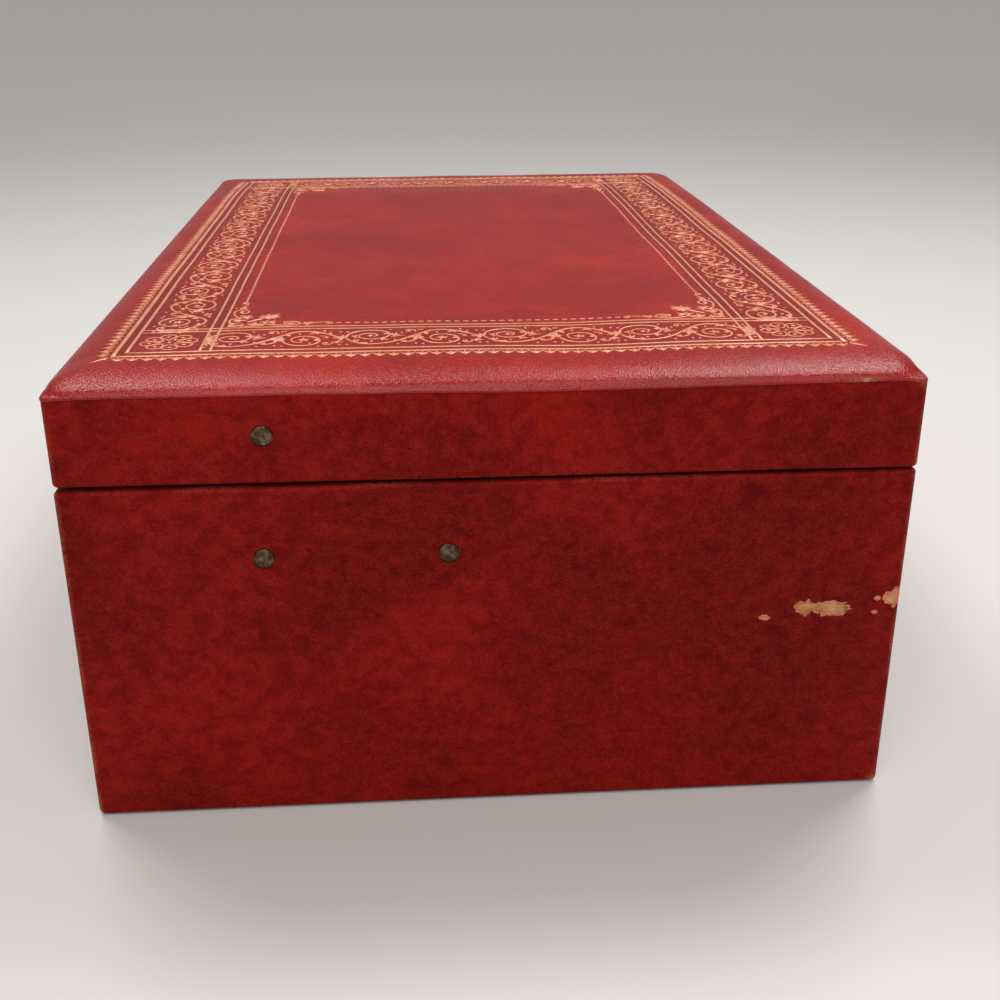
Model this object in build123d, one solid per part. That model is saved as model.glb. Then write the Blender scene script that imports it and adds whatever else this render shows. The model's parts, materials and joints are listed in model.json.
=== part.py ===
from build123d import *
import math
import os

# Cantilever jewelry box, closed, in millimetres
# X runs along the length, the front is at -Y, the hinged back at +Y, and Z is up
# The origin is the middle of the underside

# Outer size of the case
box_length = 304.0
box_depth = 190.0
base_height = 83.2
lid_side_height = 20.5
crown_rise = 3.3
roll_steps = 4
shoulder_width = 13.0
corner_radius = 1.8
crown_corner_radius = 3.0

# Slit between the base and the closed lid, wider at the back
rim_gap_back = 1.2
rim_gap_front = 0.7

# Boards, coverings and linings
board_thickness = 6.4
bottom_thickness = 4.0
lid_board_thickness = 4.0
wrap_thickness = 0.6
wrap_turn_in = 10.0
cover_thickness = 0.8
cover_skirt = 0.7
felt_thickness = 0.6
felt_inset = 4.0
lining_thickness = 0.4
floor_pad_thickness = 2.0
lid_pad_thickness = 6.5
lid_pad_edge = 2.3
lid_pad_shoulder = 14.0
lid_pad_radius = 3.0
soft_clearance = 0.4
hole_clearance = 0.05

# Piano hinge along the back
hinge_length = 254.0
hinge_leaf_thickness = 0.5
hinge_barrel_radius = 1.35
hinge_pin_radius = 0.7
hinge_pin_clearance = 0.06
knuckle_count = 10
knuckle_gap = 0.2
barrel_clearance = 0.05
hinge_leaf_set = 0.02

# Pivots of the cantilever linkage, seen from the end
rear_pivot_from_back = 43.8
base_pivot_drop = 16.7
pivot_spacing = 40.9
lid_pivot_from_back = 45.3
lid_pivot_rise = 10.8
arm_length = 60.0
tray_pivot_drop = 27.2

# Stamped steel arms and links
arm_thickness = 1.2
arm_end_radius = 4.4
washer_thickness = 0.6
washer_radius = 3.2
layer_gap = 0.7
tray_side_gap = 0.7
pivot_radius = 1.5
pivot_clearance = 0.06
axial_clearance = 0.08
rivet_head_radius = 2.3
rivet_head_proud = 0.2
rivet_head_bevel = 0.3
rivet_tail_thickness = 0.4
tray_pin_radius = 1.3
tray_pin_depth = 2.2
window_margin = 4.0
window_round = 1.5

# Tray that stays level as it rises
tray_height = 30.0
tray_top_drop = 3.2
tray_wall = 3.0
tray_floor_thickness = 2.4
tray_front_clearance = 2.6
rear_bay_depth = 49.0
tray_divider_thickness = 2.4
tray_divider_drop = 2.5
tray_pad_thickness = 1.0
ring_bay_length = 92.0
end_bay_length = 92.0
ring_roll_count = 7
ring_roll_gap = 1.0
ring_roll_height = 17.0

# Fixed dividers in the base
divider_thickness = 2.5
divider_clearance = 3.8
rear_divider_from_middle = 50.0
front_divider_from_middle = 42.0

# Hidden snap catch at the front
catch_slot_length = 13.0
catch_slot_width = 4.6
catch_slot_depth = 10.0
catch_strip = 0.5
catch_play = 0.1
catch_stud_radius = 0.9
catch_head_radius = 1.3
catch_stud_length = 7.0
catch_plate_length = 10.0
catch_plate_width = 4.6

os.makedirs("parts", exist_ok=True)

# Levels and faces that follow from the sizes above
back_face = box_depth / 2
end_face = box_length / 2
base_rim = base_height
lid_rim_back = base_rim + rim_gap_back
lid_rim_front = base_rim + rim_gap_front
crease_level = lid_rim_back + lid_side_height
cover_bottom = crease_level - cover_skirt
lid_board_bottom = cover_bottom - lid_board_thickness
wrap_bottom = felt_thickness
board_bottom = wrap_bottom + wrap_thickness
wall_top = base_rim - wrap_thickness
bottom_board_top = board_bottom + bottom_thickness
pad_top = bottom_board_top + floor_pad_thickness
core_end = end_face - wrap_thickness
core_back = back_face - wrap_thickness
inner_end = core_end - board_thickness
inner_back = core_back - board_thickness
lining_end = inner_end - lining_thickness
lining_back = inner_back - lining_thickness

# Hinge axis, level with the middle of the slit at the back
hinge_y = back_face + barrel_clearance + hinge_barrel_radius
hinge_z = base_rim + rim_gap_back / 2

# Pivot places in the plane of the end walls
rear_pivot = (back_face - rear_pivot_from_back, base_rim - base_pivot_drop)
front_pivot = (rear_pivot[0] - pivot_spacing, rear_pivot[1])
lid_pivot = (back_face - lid_pivot_from_back, lid_rim_back + lid_pivot_rise)
link_pivot = (
    rear_pivot[0] + lid_pivot[0] - hinge_y,
    rear_pivot[1] + lid_pivot[1] - hinge_z,
)
tray_pivot_level = base_rim - tray_pivot_drop
arm_drop = rear_pivot[1] - tray_pivot_level
arm_reach = math.sqrt(arm_length**2 - arm_drop**2)
tray_rear_pivot = (rear_pivot[0] - arm_reach, tray_pivot_level)
tray_front_pivot = (front_pivot[0] - arm_reach, tray_pivot_level)

# Rivet heads pass through the covering and seat on the board
rivet_face = end_face + rivet_head_proud
rivet_head_thickness = rivet_head_proud + wrap_thickness

# Layers of the linkage, measured from the middle of the box outwards
outer_layer_far = lining_end - washer_thickness
outer_layer_near = outer_layer_far - arm_thickness
inner_layer_far = outer_layer_near - layer_gap
inner_layer_near = inner_layer_far - arm_thickness
tray_end = inner_layer_near - tray_side_gap

# Tray and divider places
tray_top = base_rim - tray_top_drop
tray_bottom = tray_top - tray_height
tray_floor_top = tray_bottom + tray_floor_thickness
tray_front = -lining_back + tray_front_clearance
tray_back = lining_back - rear_bay_depth - divider_thickness
tray_inner_end = tray_end - tray_wall
tray_inner_front = tray_front + tray_wall
tray_inner_back = tray_back - tray_wall
divider_top = tray_bottom - divider_clearance
long_divider_back = lining_back - rear_bay_depth
long_divider_front = long_divider_back - divider_thickness

ENDS = (("left", -1), ("right", 1))


def keep(shape, name):
    """Write one piece of the box to its own file."""
    shape.label = name
    export_step(shape, f"parts/{name}.step")


def block(x_range, y_range, z_range):
    """Make a box from its lowest and highest value on each axis."""
    size = [high - low for low, high in (x_range, y_range, z_range)]
    middle = [(high + low) / 2 for low, high in (x_range, y_range, z_range)]
    return Pos(*middle) * Box(*size)


def rounded_block(half_x, half_y, z_range, radius):
    """Make a centred box with rounded upright edges."""
    outline = RectangleRounded(2 * half_x, 2 * half_y, radius)
    return Pos(0, 0, z_range[0]) * extrude(outline, z_range[1] - z_range[0])


def end_prism(points, half_x):
    """Extrude a closed outline of the end view along the whole length."""
    outline = Plane.YZ.offset(-half_x) * make_face(Polyline(*points, close=True))
    return extrude(outline, 2 * half_x)


def cross_rod(place, radius, side, x_near, x_far):
    """Make a rod along X at a place of the end view, between two distances from the middle."""
    length = x_far - x_near
    middle = side * (x_near + x_far) / 2
    return Pos(middle, *place) * Rot(0, 90, 0) * Cylinder(radius, length)


def sleeve(place, side, x_near, x_far):
    """Make a washer or spacer that turns freely on a pivot."""
    outer = cross_rod(place, washer_radius, side, x_near, x_far)
    return outer - cross_rod(place, pivot_radius + pivot_clearance, side, x_near, x_far)


def plate(outline, side, x_near, x_far):
    """Stand a flat outline of the end view between two distances from the middle."""
    start = min(side * x_near, side * x_far)
    return extrude(Plane.YZ.offset(start) * outline, x_far - x_near)


def eye(place, radius):
    """Draw a disc at a place of the end view."""
    return Pos(*place) * Circle(radius)


def strap(places, radius):
    """Draw the taut outline round discs at several places of the end view."""
    edges = [edge for place in places for edge in eye(place, radius).edges()]
    return make_hull(edges)


def pillow(half_x, half_y, z_range, rise, shoulder, radius):
    """Make a slab whose upper edge rolls over in a quarter ellipse to a level crown."""
    slab = rounded_block(half_x, half_y, z_range, radius)
    sections = []
    for step in range(roll_steps + 1):
        angle = math.pi / 2 * step / roll_steps
        inset = shoulder * (1 - math.cos(angle))
        outline = RectangleRounded(2 * (half_x - inset), 2 * (half_y - inset), radius + inset / 2)
        sections.append(Pos(0, 0, z_range[1] + rise * math.sin(angle)) * outline)
    return slab + loft(sections, ruled=True)


def rivet(place, side, x_head, x_tail):
    """Make a flush rivet whose outer head shows and whose tail is spread inside."""
    head = cross_rod(place, rivet_head_radius, side, x_head - rivet_head_thickness, x_head)
    face = head.faces().sort_by(Axis.X)[-1 if side > 0 else 0]
    head = chamfer(face.edges(), rivet_head_bevel)
    shank = cross_rod(place, pivot_radius, side, x_tail, x_head - rivet_head_thickness)
    tail = cross_rod(place, rivet_head_radius, side, x_tail - rivet_tail_thickness, x_tail)
    return head + shank + tail


def rivet_room(place, side):
    """Make the room that a case rivet needs: a hole through board and lining, a wider one in the wrap."""
    hole = cross_rod(place, pivot_radius + hole_clearance, side, lining_end - 1, end_face + 1)
    return hole + cross_rod(place, rivet_head_radius + hole_clearance, side, core_end, end_face + 1)


# Base case: four walls between the wrap's turned edges, and the bottom board
base_core = rounded_block(core_end, core_back, (board_bottom, wall_top), corner_radius - wrap_thickness)
base_holes = [rivet_room(place, side) for place in (rear_pivot, front_pivot) for _, side in ENDS]
catch_y = -(inner_back + board_thickness / 2)
catch_slot = Pos(0, catch_y, wall_top - catch_slot_depth / 2) * Box(
    catch_slot_length, catch_slot_width, catch_slot_depth
)
for name, side in ENDS:
    wall_span = sorted((side * inner_end, side * end_face))
    end_wall = base_core & block(wall_span, (-back_face, back_face), (0, base_height))
    keep(end_wall - base_holes, f"base_{name}_wall")

wall_levels = (board_bottom, wall_top)
keep(block((-inner_end, inner_end), (inner_back, core_back), wall_levels), "base_back_wall")
front_wall = block((-inner_end, inner_end), (-core_back, -inner_back), wall_levels)
keep(front_wall - catch_slot, "base_front_wall")
bottom_board = block((-inner_end, inner_end), (-inner_back, inner_back), (board_bottom, bottom_board_top))
keep(bottom_board, "base_bottom_board")

# Covering of the base: sides, turned over the rim and under the walls
base_wrap = rounded_block(end_face, back_face, (wrap_bottom, base_rim), corner_radius) - base_core
base_wrap -= block((-inner_end, inner_end), (-inner_back, inner_back), (board_bottom, base_rim))
base_wrap -= rounded_block(
    end_face - wrap_turn_in, back_face - wrap_turn_in, (0, board_bottom), corner_radius
)
base_wrap -= base_holes
base_wrap -= Pos(0, 0, wrap_thickness) * catch_slot
keep(base_wrap, "base_wrap")

felt = rounded_block(end_face - felt_inset, back_face - felt_inset, (0, felt_thickness), corner_radius)
felt += rounded_block(
    end_face - wrap_turn_in - soft_clearance,
    back_face - wrap_turn_in - soft_clearance,
    (felt_thickness, board_bottom),
    corner_radius,
)
keep(felt, "base_felt")

# Cloth lining inside the base
wall_lining = block((-inner_end, inner_end), (-inner_back, inner_back), (bottom_board_top, base_rim))
wall_lining -= block((-lining_end, lining_end), (-lining_back, lining_back), (bottom_board_top, base_rim))
keep(wall_lining - base_holes, "base_wall_lining")

pad_end = lining_end - soft_clearance
pad_back = lining_back - soft_clearance
floor_pad = rounded_block(pad_end, pad_back, (bottom_board_top, pad_top), corner_radius)
keep(chamfer(floor_pad.faces().sort_by(Axis.Z)[-1].edges(), floor_pad_thickness / 3), "base_floor_pad")

# Fixed dividers that stand on the floor pad
lining_x = (-lining_end, lining_end)
long_divider_y = (long_divider_front, long_divider_back)
keep(block(lining_x, long_divider_y, (pad_top, divider_top)), "base_long_divider")
for name, side in ENDS:
    rear_x = side * rear_divider_from_middle
    rear_span = (rear_x - divider_thickness / 2, rear_x + divider_thickness / 2)
    rear_divider = block(rear_span, (long_divider_back, lining_back), (pad_top, divider_top))
    keep(rear_divider, f"base_rear_divider_{name}")
    front_x = side * front_divider_from_middle
    front_span = (front_x - divider_thickness / 2, front_x + divider_thickness / 2)
    front_divider = block(front_span, (-lining_back, long_divider_front), (pad_top, divider_top))
    keep(front_divider, f"base_front_divider_{name}")

# Lid case: rails and top board cut from one wedge-bottomed core
lid_points = [
    (back_face, lid_rim_back),
    (back_face, cover_bottom),
    (-back_face, cover_bottom),
    (-back_face, lid_rim_front),
]
lid_core_points = [
    (core_back, lid_rim_back + wrap_thickness),
    (core_back, cover_bottom),
    (-core_back, cover_bottom),
    (-core_back, lid_rim_front + wrap_thickness),
]
lid_outline = rounded_block(end_face, back_face, (base_rim, cover_bottom), corner_radius)
core_radius = corner_radius - wrap_thickness
lid_core_outline = rounded_block(core_end, core_back, (base_rim, cover_bottom), core_radius)
lid_outer = end_prism(lid_points, end_face) & lid_outline
lid_core = end_prism(lid_core_points, core_end) & lid_core_outline
lid_holes = [rivet_room(lid_pivot, side) for _, side in ENDS]
rail_levels = (base_rim, lid_board_bottom)
for name, side in ENDS:
    rail_span = sorted((side * inner_end, side * end_face))
    end_rail = lid_core & block(rail_span, (-back_face, back_face), rail_levels)
    keep(end_rail - lid_holes, f"lid_{name}_rail")
keep(lid_core & block((-inner_end, inner_end), (inner_back, back_face), rail_levels), "lid_back_rail")
keep(lid_core & block((-inner_end, inner_end), (-back_face, -inner_back), rail_levels), "lid_front_rail")
board_levels = (lid_board_bottom, cover_bottom)
keep(lid_core & block((-end_face, end_face), (-back_face, back_face), board_levels), "lid_top_board")

lid_wrap = lid_outer - lid_core
lid_wrap -= block((-inner_end, inner_end), (-inner_back, inner_back), (base_rim, lid_board_bottom))
keep(lid_wrap - lid_holes, "lid_side_wrap")

# Padded lid top: a foam slab under a crowned cover
foam_end = end_face - cover_thickness
foam_back = back_face - cover_thickness
foam_levels = (cover_bottom, crease_level - cover_thickness / 2)
foam_rise = crown_rise - cover_thickness / 2
foam_radius = crown_corner_radius - cover_thickness
crown_levels = (cover_bottom, crease_level)
crown = pillow(end_face, back_face, crown_levels, crown_rise, shoulder_width, crown_corner_radius)
foam = pillow(foam_end, foam_back, foam_levels, foam_rise, shoulder_width, foam_radius)
keep(foam, "lid_foam_pad")
keep(crown - foam, "lid_top_cover")

# Lid lining: a cloth band inside the rails and a quilted pad under the board
rail_lining = end_prism(
    [
        (inner_back, lid_rim_back),
        (inner_back, lid_board_bottom),
        (-inner_back, lid_board_bottom),
        (-inner_back, lid_rim_front),
    ],
    inner_end,
)
rail_lining -= block((-lining_end, lining_end), (-lining_back, lining_back), rail_levels)
keep(rail_lining - lid_holes, "lid_rail_lining")

lid_pad_end = tray_end - soft_clearance
lid_pad_back = lining_back - soft_clearance
lid_pad_rise = lid_pad_thickness - lid_pad_edge
lid_pad_levels = (0, lid_pad_edge)
lid_pad = pillow(lid_pad_end, lid_pad_back, lid_pad_levels, lid_pad_rise, lid_pad_shoulder, lid_pad_radius)
keep(Pos(0, 0, lid_board_bottom) * Rot(180, 0, 0) * lid_pad, "lid_lining_pad")

# Snap catch: a spring clip in a slot of the front wall and a headed stud under the lid
clip_half_length = catch_slot_length / 2 - catch_play
clip_half_width = catch_slot_width / 2 - catch_play
clip_bottom = wall_top - catch_slot_depth + catch_play
clip_x = (-clip_half_length, clip_half_length)
clip_outer = block(clip_x, (-clip_half_width, clip_half_width), (clip_bottom, wall_top))
clip_mouth = clip_half_width - catch_strip
clip_inner = block(clip_x, (-clip_mouth, clip_mouth), (clip_bottom + catch_strip, wall_top))
clip = fillet(clip_outer.edges().filter_by(Axis.X).group_by(Axis.Z)[0], catch_strip * 1.5) - clip_inner
keep(Pos(0, catch_y, 0) * clip, "catch_clip")

stud_plate_low = lid_rim_front - catch_strip
stud_plate = block(
    (-catch_plate_length / 2, catch_plate_length / 2),
    (-catch_plate_width / 2, catch_plate_width / 2),
    (stud_plate_low, lid_rim_front),
)
stud = Pos(0, 0, stud_plate_low - catch_stud_length / 2) * Cylinder(catch_stud_radius, catch_stud_length)
head_length = 2 * catch_head_radius
stud_head = Pos(0, 0, stud_plate_low - catch_stud_length) * Cylinder(catch_head_radius, head_length)
stud_head = chamfer(stud_head.faces().sort_by(Axis.Z)[0].edges(), catch_head_radius / 2)
keep(Pos(0, catch_y, 0) * (stud_plate + stud + stud_head), "catch_stud")

# Piano hinge: two leaves with alternate knuckles round one pin
knuckle_pitch = hinge_length / knuckle_count
hinge_line = Pos(0, hinge_y, hinge_z) * Rot(0, 90, 0)
pin_bore = hinge_line * Cylinder(hinge_pin_radius + hinge_pin_clearance, hinge_length)
barrel_room = hinge_line * Cylinder(hinge_barrel_radius + barrel_clearance, hinge_length)


def hinge_leaf(leaf_levels, first_knuckle):
    """Make one leaf between two levels, with every second knuckle from the first."""
    leaf = block((-hinge_length / 2, hinge_length / 2), (inner_back, hinge_y), leaf_levels) - barrel_room
    for index in range(first_knuckle, knuckle_count, 2):
        middle = (index + 0.5) * knuckle_pitch - hinge_length / 2
        length = knuckle_pitch - knuckle_gap
        strip = (middle - length / 2, middle + length / 2)
        root = block(strip, (back_face - barrel_clearance, hinge_y), leaf_levels)
        knuckle = Pos(middle, 0, 0) * hinge_line * Cylinder(hinge_barrel_radius, length)
        leaf += [knuckle, root]
    return leaf - pin_bore


lid_leaf_top = lid_rim_back - hinge_leaf_set
keep(hinge_leaf((base_rim, base_rim + hinge_leaf_thickness), 0), "hinge_base_leaf")
keep(hinge_leaf((lid_leaf_top - hinge_leaf_thickness, lid_leaf_top), 1), "hinge_lid_leaf")
keep(hinge_line * Cylinder(hinge_pin_radius, hinge_length), "hinge_pin")

# Rivets of the case, with the washers and spacers on them
outer_tail = outer_layer_near - axial_clearance
inner_tail = inner_layer_near - axial_clearance
keep(Part() + [rivet(rear_pivot, side, rivet_face, inner_tail) for _, side in ENDS], "base_rear_rivets")
keep(Part() + [rivet(front_pivot, side, rivet_face, outer_tail) for _, side in ENDS], "base_front_rivets")
keep(Part() + [rivet(lid_pivot, side, rivet_face, outer_tail) for _, side in ENDS], "lid_rivets")
spacers = [sleeve(rear_pivot, side, inner_layer_far + axial_clearance, lining_end) for _, side in ENDS]
spacers += [sleeve(front_pivot, side, outer_layer_far + axial_clearance, lining_end) for _, side in ENDS]
keep(Part() + spacers, "base_pivot_spacers")
washers = [sleeve(lid_pivot, side, outer_layer_far + axial_clearance, lining_end) for _, side in ENDS]
keep(Part() + washers, "lid_pivot_washers")

# Arms and links, one set at each end
pivot_hole = pivot_radius + pivot_clearance
tray_pin_hole = tray_pin_radius + pivot_clearance
crank_places = [rear_pivot, link_pivot, tray_rear_pivot]
crank_window = offset(make_face(Polyline(*crank_places, close=True)), -window_margin)
crank = strap(crank_places, arm_end_radius) - fillet(crank_window.vertices(), window_round)
crank -= [eye(rear_pivot, pivot_hole), eye(link_pivot, pivot_hole), eye(tray_rear_pivot, tray_pin_hole)]
front_bar = strap([front_pivot, tray_front_pivot], arm_end_radius)
front_bar -= [eye(front_pivot, pivot_hole), eye(tray_front_pivot, tray_pin_hole)]
link_bar = strap([lid_pivot, link_pivot], arm_end_radius)
link_bar -= [eye(lid_pivot, pivot_hole), eye(link_pivot, pivot_hole)]


def link_pin(side):
    """Make the pin that joins the lid link to the rear arm."""
    pin = cross_rod(link_pivot, pivot_radius, side, inner_tail, outer_layer_far + axial_clearance)
    pin += cross_rod(link_pivot, rivet_head_radius, side, inner_tail - rivet_tail_thickness, inner_tail)
    head_from = outer_layer_far + axial_clearance
    return pin + cross_rod(link_pivot, rivet_head_radius, side, head_from, head_from + rivet_tail_thickness)


def tray_pin(place, side, x_arm_far):
    """Make the headed pin that is driven into the tray wall and carries an arm."""
    head_from = x_arm_far + axial_clearance
    pin = cross_rod(place, tray_pin_radius, side, tray_end - tray_pin_depth, head_from)
    return pin + cross_rod(place, rivet_head_radius, side, head_from, head_from + rivet_tail_thickness)


for name, side in ENDS:
    keep(plate(crank, side, inner_layer_near, inner_layer_far), f"rear_arm_{name}")
    keep(plate(front_bar, side, outer_layer_near, outer_layer_far), f"front_arm_{name}")
    keep(plate(link_bar, side, outer_layer_near, outer_layer_far), f"lid_link_{name}")
    keep(link_pin(side), f"link_pin_{name}")
rear_pins = [tray_pin(tray_rear_pivot, side, inner_layer_far) for _, side in ENDS]
front_pins = [tray_pin(tray_front_pivot, side, outer_layer_far) for _, side in ENDS]
collar_end = outer_layer_near - axial_clearance
collars = [cross_rod(tray_front_pivot, rivet_head_radius, side, tray_end, collar_end) for _, side in ENDS]
keep(Part() + rear_pins, "tray_rear_pins")
keep(Part() + front_pins + collars, "tray_front_pins")

# Tray: walls, floor, dividers, pads and ring rolls
tray_x = (-tray_inner_end, tray_inner_end)
tray_levels = (tray_bottom, tray_top)


def tray_wall_piece(x_range, y_range, name):
    """Make one tray wall with an eased upper rim."""
    wall = block(x_range, y_range, tray_levels)
    rim = wall.faces().sort_by(Axis.Z)[-1].edges()
    long_axis = Axis.X if x_range[1] - x_range[0] > y_range[1] - y_range[0] else Axis.Y
    wall = fillet(rim.filter_by(long_axis), tray_wall * 0.3)
    for place in (tray_rear_pivot, tray_front_pivot):
        for _, side in ENDS:
            hole_from = tray_end - tray_pin_depth - hole_clearance
            wall -= cross_rod(place, tray_pin_radius + hole_clearance, side, hole_from, tray_end + 1)
    keep(wall, name)


for name, side in ENDS:
    wall_x = sorted((side * tray_inner_end, side * tray_end))
    tray_wall_piece(wall_x, (tray_front, tray_back), f"tray_{name}_wall")
tray_wall_piece(tray_x, (tray_front, tray_inner_front), "tray_front_wall")
tray_wall_piece(tray_x, (tray_inner_back, tray_back), "tray_back_wall")
keep(block(tray_x, (tray_inner_front, tray_inner_back), (tray_bottom, tray_floor_top)), "tray_floor")

divider_levels = (tray_floor_top, tray_top - tray_divider_drop)
tray_inner_y = (tray_inner_front, tray_inner_back)
tray_middle_y = (tray_inner_front + tray_inner_back) / 2
ring_bay_end = ring_bay_length - tray_inner_end
middle_bay_start = ring_bay_end + tray_divider_thickness
end_bay_start = tray_inner_end - end_bay_length
middle_bay_end = end_bay_start - tray_divider_thickness
middle_bay_x = (middle_bay_start, middle_bay_end)
middle_split = (tray_middle_y - tray_divider_thickness / 2, tray_middle_y + tray_divider_thickness / 2)
keep(block((ring_bay_end, middle_bay_start), tray_inner_y, divider_levels), "tray_divider_left")
keep(block((middle_bay_end, end_bay_start), tray_inner_y, divider_levels), "tray_divider_right")
keep(block(middle_bay_x, middle_split, divider_levels), "tray_divider_middle")


def pad_in(x_range, y_range):
    """Make a thin cushion that lies in one bay of the tray."""
    x_inside = (x_range[0] + soft_clearance, x_range[1] - soft_clearance)
    y_inside = (y_range[0] + soft_clearance, y_range[1] - soft_clearance)
    pad = block(x_inside, y_inside, (tray_floor_top, tray_floor_top + tray_pad_thickness))
    return chamfer(pad.faces().sort_by(Axis.Z)[-1].edges(), tray_pad_thickness / 2)


tray_pads = [
    pad_in(middle_bay_x, (tray_inner_front, middle_split[0])),
    pad_in(middle_bay_x, (middle_split[1], tray_inner_back)),
    pad_in((end_bay_start, tray_inner_end), tray_inner_y),
]
keep(Part() + tray_pads, "tray_floor_pads")

roll_pitch = (tray_inner_back - tray_inner_front) / ring_roll_count
roll_half = (roll_pitch - ring_roll_gap) / 2
roll_side = ring_roll_height - roll_half
roll_from = -tray_inner_end + soft_clearance
roll_length = ring_bay_length - 2 * soft_clearance
roll_walls = Polyline((-roll_half, roll_side), (-roll_half, 0), (roll_half, 0), (roll_half, roll_side))
roll_top = ThreePointArc((roll_half, roll_side), (0, ring_roll_height), (-roll_half, roll_side))
roll = extrude(Plane.YZ * make_face(roll_walls + roll_top), roll_length)
roll_middles = [tray_inner_front + (i + 0.5) * roll_pitch for i in range(ring_roll_count)]
keep(Part() + [Pos(roll_from, y, tray_floor_top) * roll for y in roll_middles], "tray_ring_rolls")
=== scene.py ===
"""The looks of a leatherette-covered cantilever jewelry box: coverings, gilding, linings, metal and light."""

import json
import logging
import math
from collections.abc import Callable, Iterator, Sequence
from contextlib import contextmanager
from dataclasses import dataclass
from enum import Enum
from functools import reduce

import bmesh
import bpy
from mathutils import Matrix, Vector, noise


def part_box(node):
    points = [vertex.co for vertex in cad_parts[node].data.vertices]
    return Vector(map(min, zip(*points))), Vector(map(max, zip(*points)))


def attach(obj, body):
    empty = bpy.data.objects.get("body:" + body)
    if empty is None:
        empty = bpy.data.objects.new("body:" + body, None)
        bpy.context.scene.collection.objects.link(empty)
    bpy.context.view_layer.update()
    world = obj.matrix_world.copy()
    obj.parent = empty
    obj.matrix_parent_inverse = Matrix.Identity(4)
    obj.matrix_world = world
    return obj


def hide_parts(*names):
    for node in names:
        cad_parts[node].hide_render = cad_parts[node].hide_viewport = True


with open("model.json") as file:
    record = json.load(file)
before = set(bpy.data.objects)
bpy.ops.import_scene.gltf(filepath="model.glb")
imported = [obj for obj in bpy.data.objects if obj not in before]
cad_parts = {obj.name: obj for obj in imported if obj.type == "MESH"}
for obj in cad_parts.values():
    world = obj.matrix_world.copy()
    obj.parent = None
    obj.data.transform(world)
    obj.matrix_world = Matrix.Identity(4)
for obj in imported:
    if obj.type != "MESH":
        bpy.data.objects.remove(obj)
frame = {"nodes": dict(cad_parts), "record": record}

log = logging.getLogger("jewelry_box")

MM = 0.001
NOISE_SEED = 5  # Blender seeds its vector noise from the clock otherwise
Colour = tuple[float, float, float]
Socket = bpy.types.NodeSocket
Material = bpy.types.Material
Edge = bmesh.types.BMEdge
Piece = bpy.types.Object
BOTH_WAYS = (-1, 1)
ALL_CORNERS = tuple((x, y) for x in BOTH_WAYS for y in BOTH_WAYS)


class Part(Enum):
    """The kinds of mesh element that a modelling step selects."""

    POINT = "VERT"
    EDGE = "EDGE"
    FACE = "FACE"


class Lie(Enum):
    """The ways that a round bar lies, each with the turn that lays it so."""

    ALONG = (0, math.pi / 2, 0)
    UPRIGHT = (0, 0, 0)


class End(Enum):
    """The two ends of the box, as the construction nodes name them."""

    LEFT = "left"
    RIGHT = "right"


class Slot(Enum):
    """Material slots of the record that new pieces take their finish from."""

    BOARD = "board"
    SIDES = "leatherette_sides"
    TOP = "leatherette_top"
    FELT = "felt"
    VELVET = "velvet"
    SATIN = "satin"
    FOAM = "foam"
    STEEL = "steel"
    BRASS = "brass"
    GILDING = "gilding"


def paint(red: int, green: int, blue: int) -> Colour:
    """Turn a colour as the eye reads it, from 0 to 255, into the linear values that shaders use.

    Args:
        red: Red, from 0 to 255.
        green: Green, from 0 to 255.
        blue: Blue, from 0 to 255.

    Returns:
        The three linear values.
    """
    def straight(value: int) -> float:
        """Undo the display curve of one channel."""
        share = value / 255
        return share / 12.92 if share <= 0.04045 else ((share + 0.055) / 1.055) ** 2.4

    return straight(red), straight(green), straight(blue)


def clear() -> None:
    """Deselect everything, because an operator acts on all that is selected."""
    bpy.ops.object.select_all(action="DESELECT")


def pick(piece: Piece) -> None:
    """Make a piece the only selected one."""
    clear()
    piece.select_set(True)
    bpy.context.view_layer.objects.active = piece


def named(name: str) -> Piece:
    """Name the piece that was added last."""
    piece = bpy.context.object
    piece.name = piece.data.name = name
    return piece


def fix(piece: Piece) -> Piece:
    """Move a piece's place, turn and scale into its mesh."""
    pick(piece)
    bpy.ops.object.transform_apply(location=True, rotation=True, scale=True)
    return piece


def block(name: str, low: Sequence[float], high: Sequence[float]) -> Piece:
    """Add a block between two corners.

    Args:
        name: The new piece's name.
        low: Its lowest corner, in metres.
        high: Its highest corner, in metres.

    Returns:
        The new piece.
    """
    clear()
    low, high = Vector(low), Vector(high)
    bpy.ops.mesh.primitive_cube_add(size=1, location=(low + high) / 2)
    piece = named(name)
    piece.scale = high - low
    return fix(piece)


def rod(name: str, middle: Sequence[float], radius: float, length: float, lie: Lie, sides: int) -> Piece:
    """Add a round bar.

    Args:
        name: The new piece's name.
        middle: The middle of the bar.
        radius: Its radius.
        length: Its length.
        lie: Whether it lies along the box or stands upright.
        sides: How many flat sides stand for its round.

    Returns:
        The bar.
    """
    clear()
    bpy.ops.mesh.primitive_cylinder_add(vertices=sides, radius=radius, depth=length, location=middle,
                                        rotation=lie.value)
    return fix(named(name))


@contextmanager
def shaping(piece: Piece) -> Iterator[None]:
    """Hold a piece in edit mode while it is shaped."""
    pick(piece)
    bpy.ops.object.mode_set(mode="EDIT")
    try:
        yield
    finally:
        bpy.ops.object.mode_set(mode="OBJECT")


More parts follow.
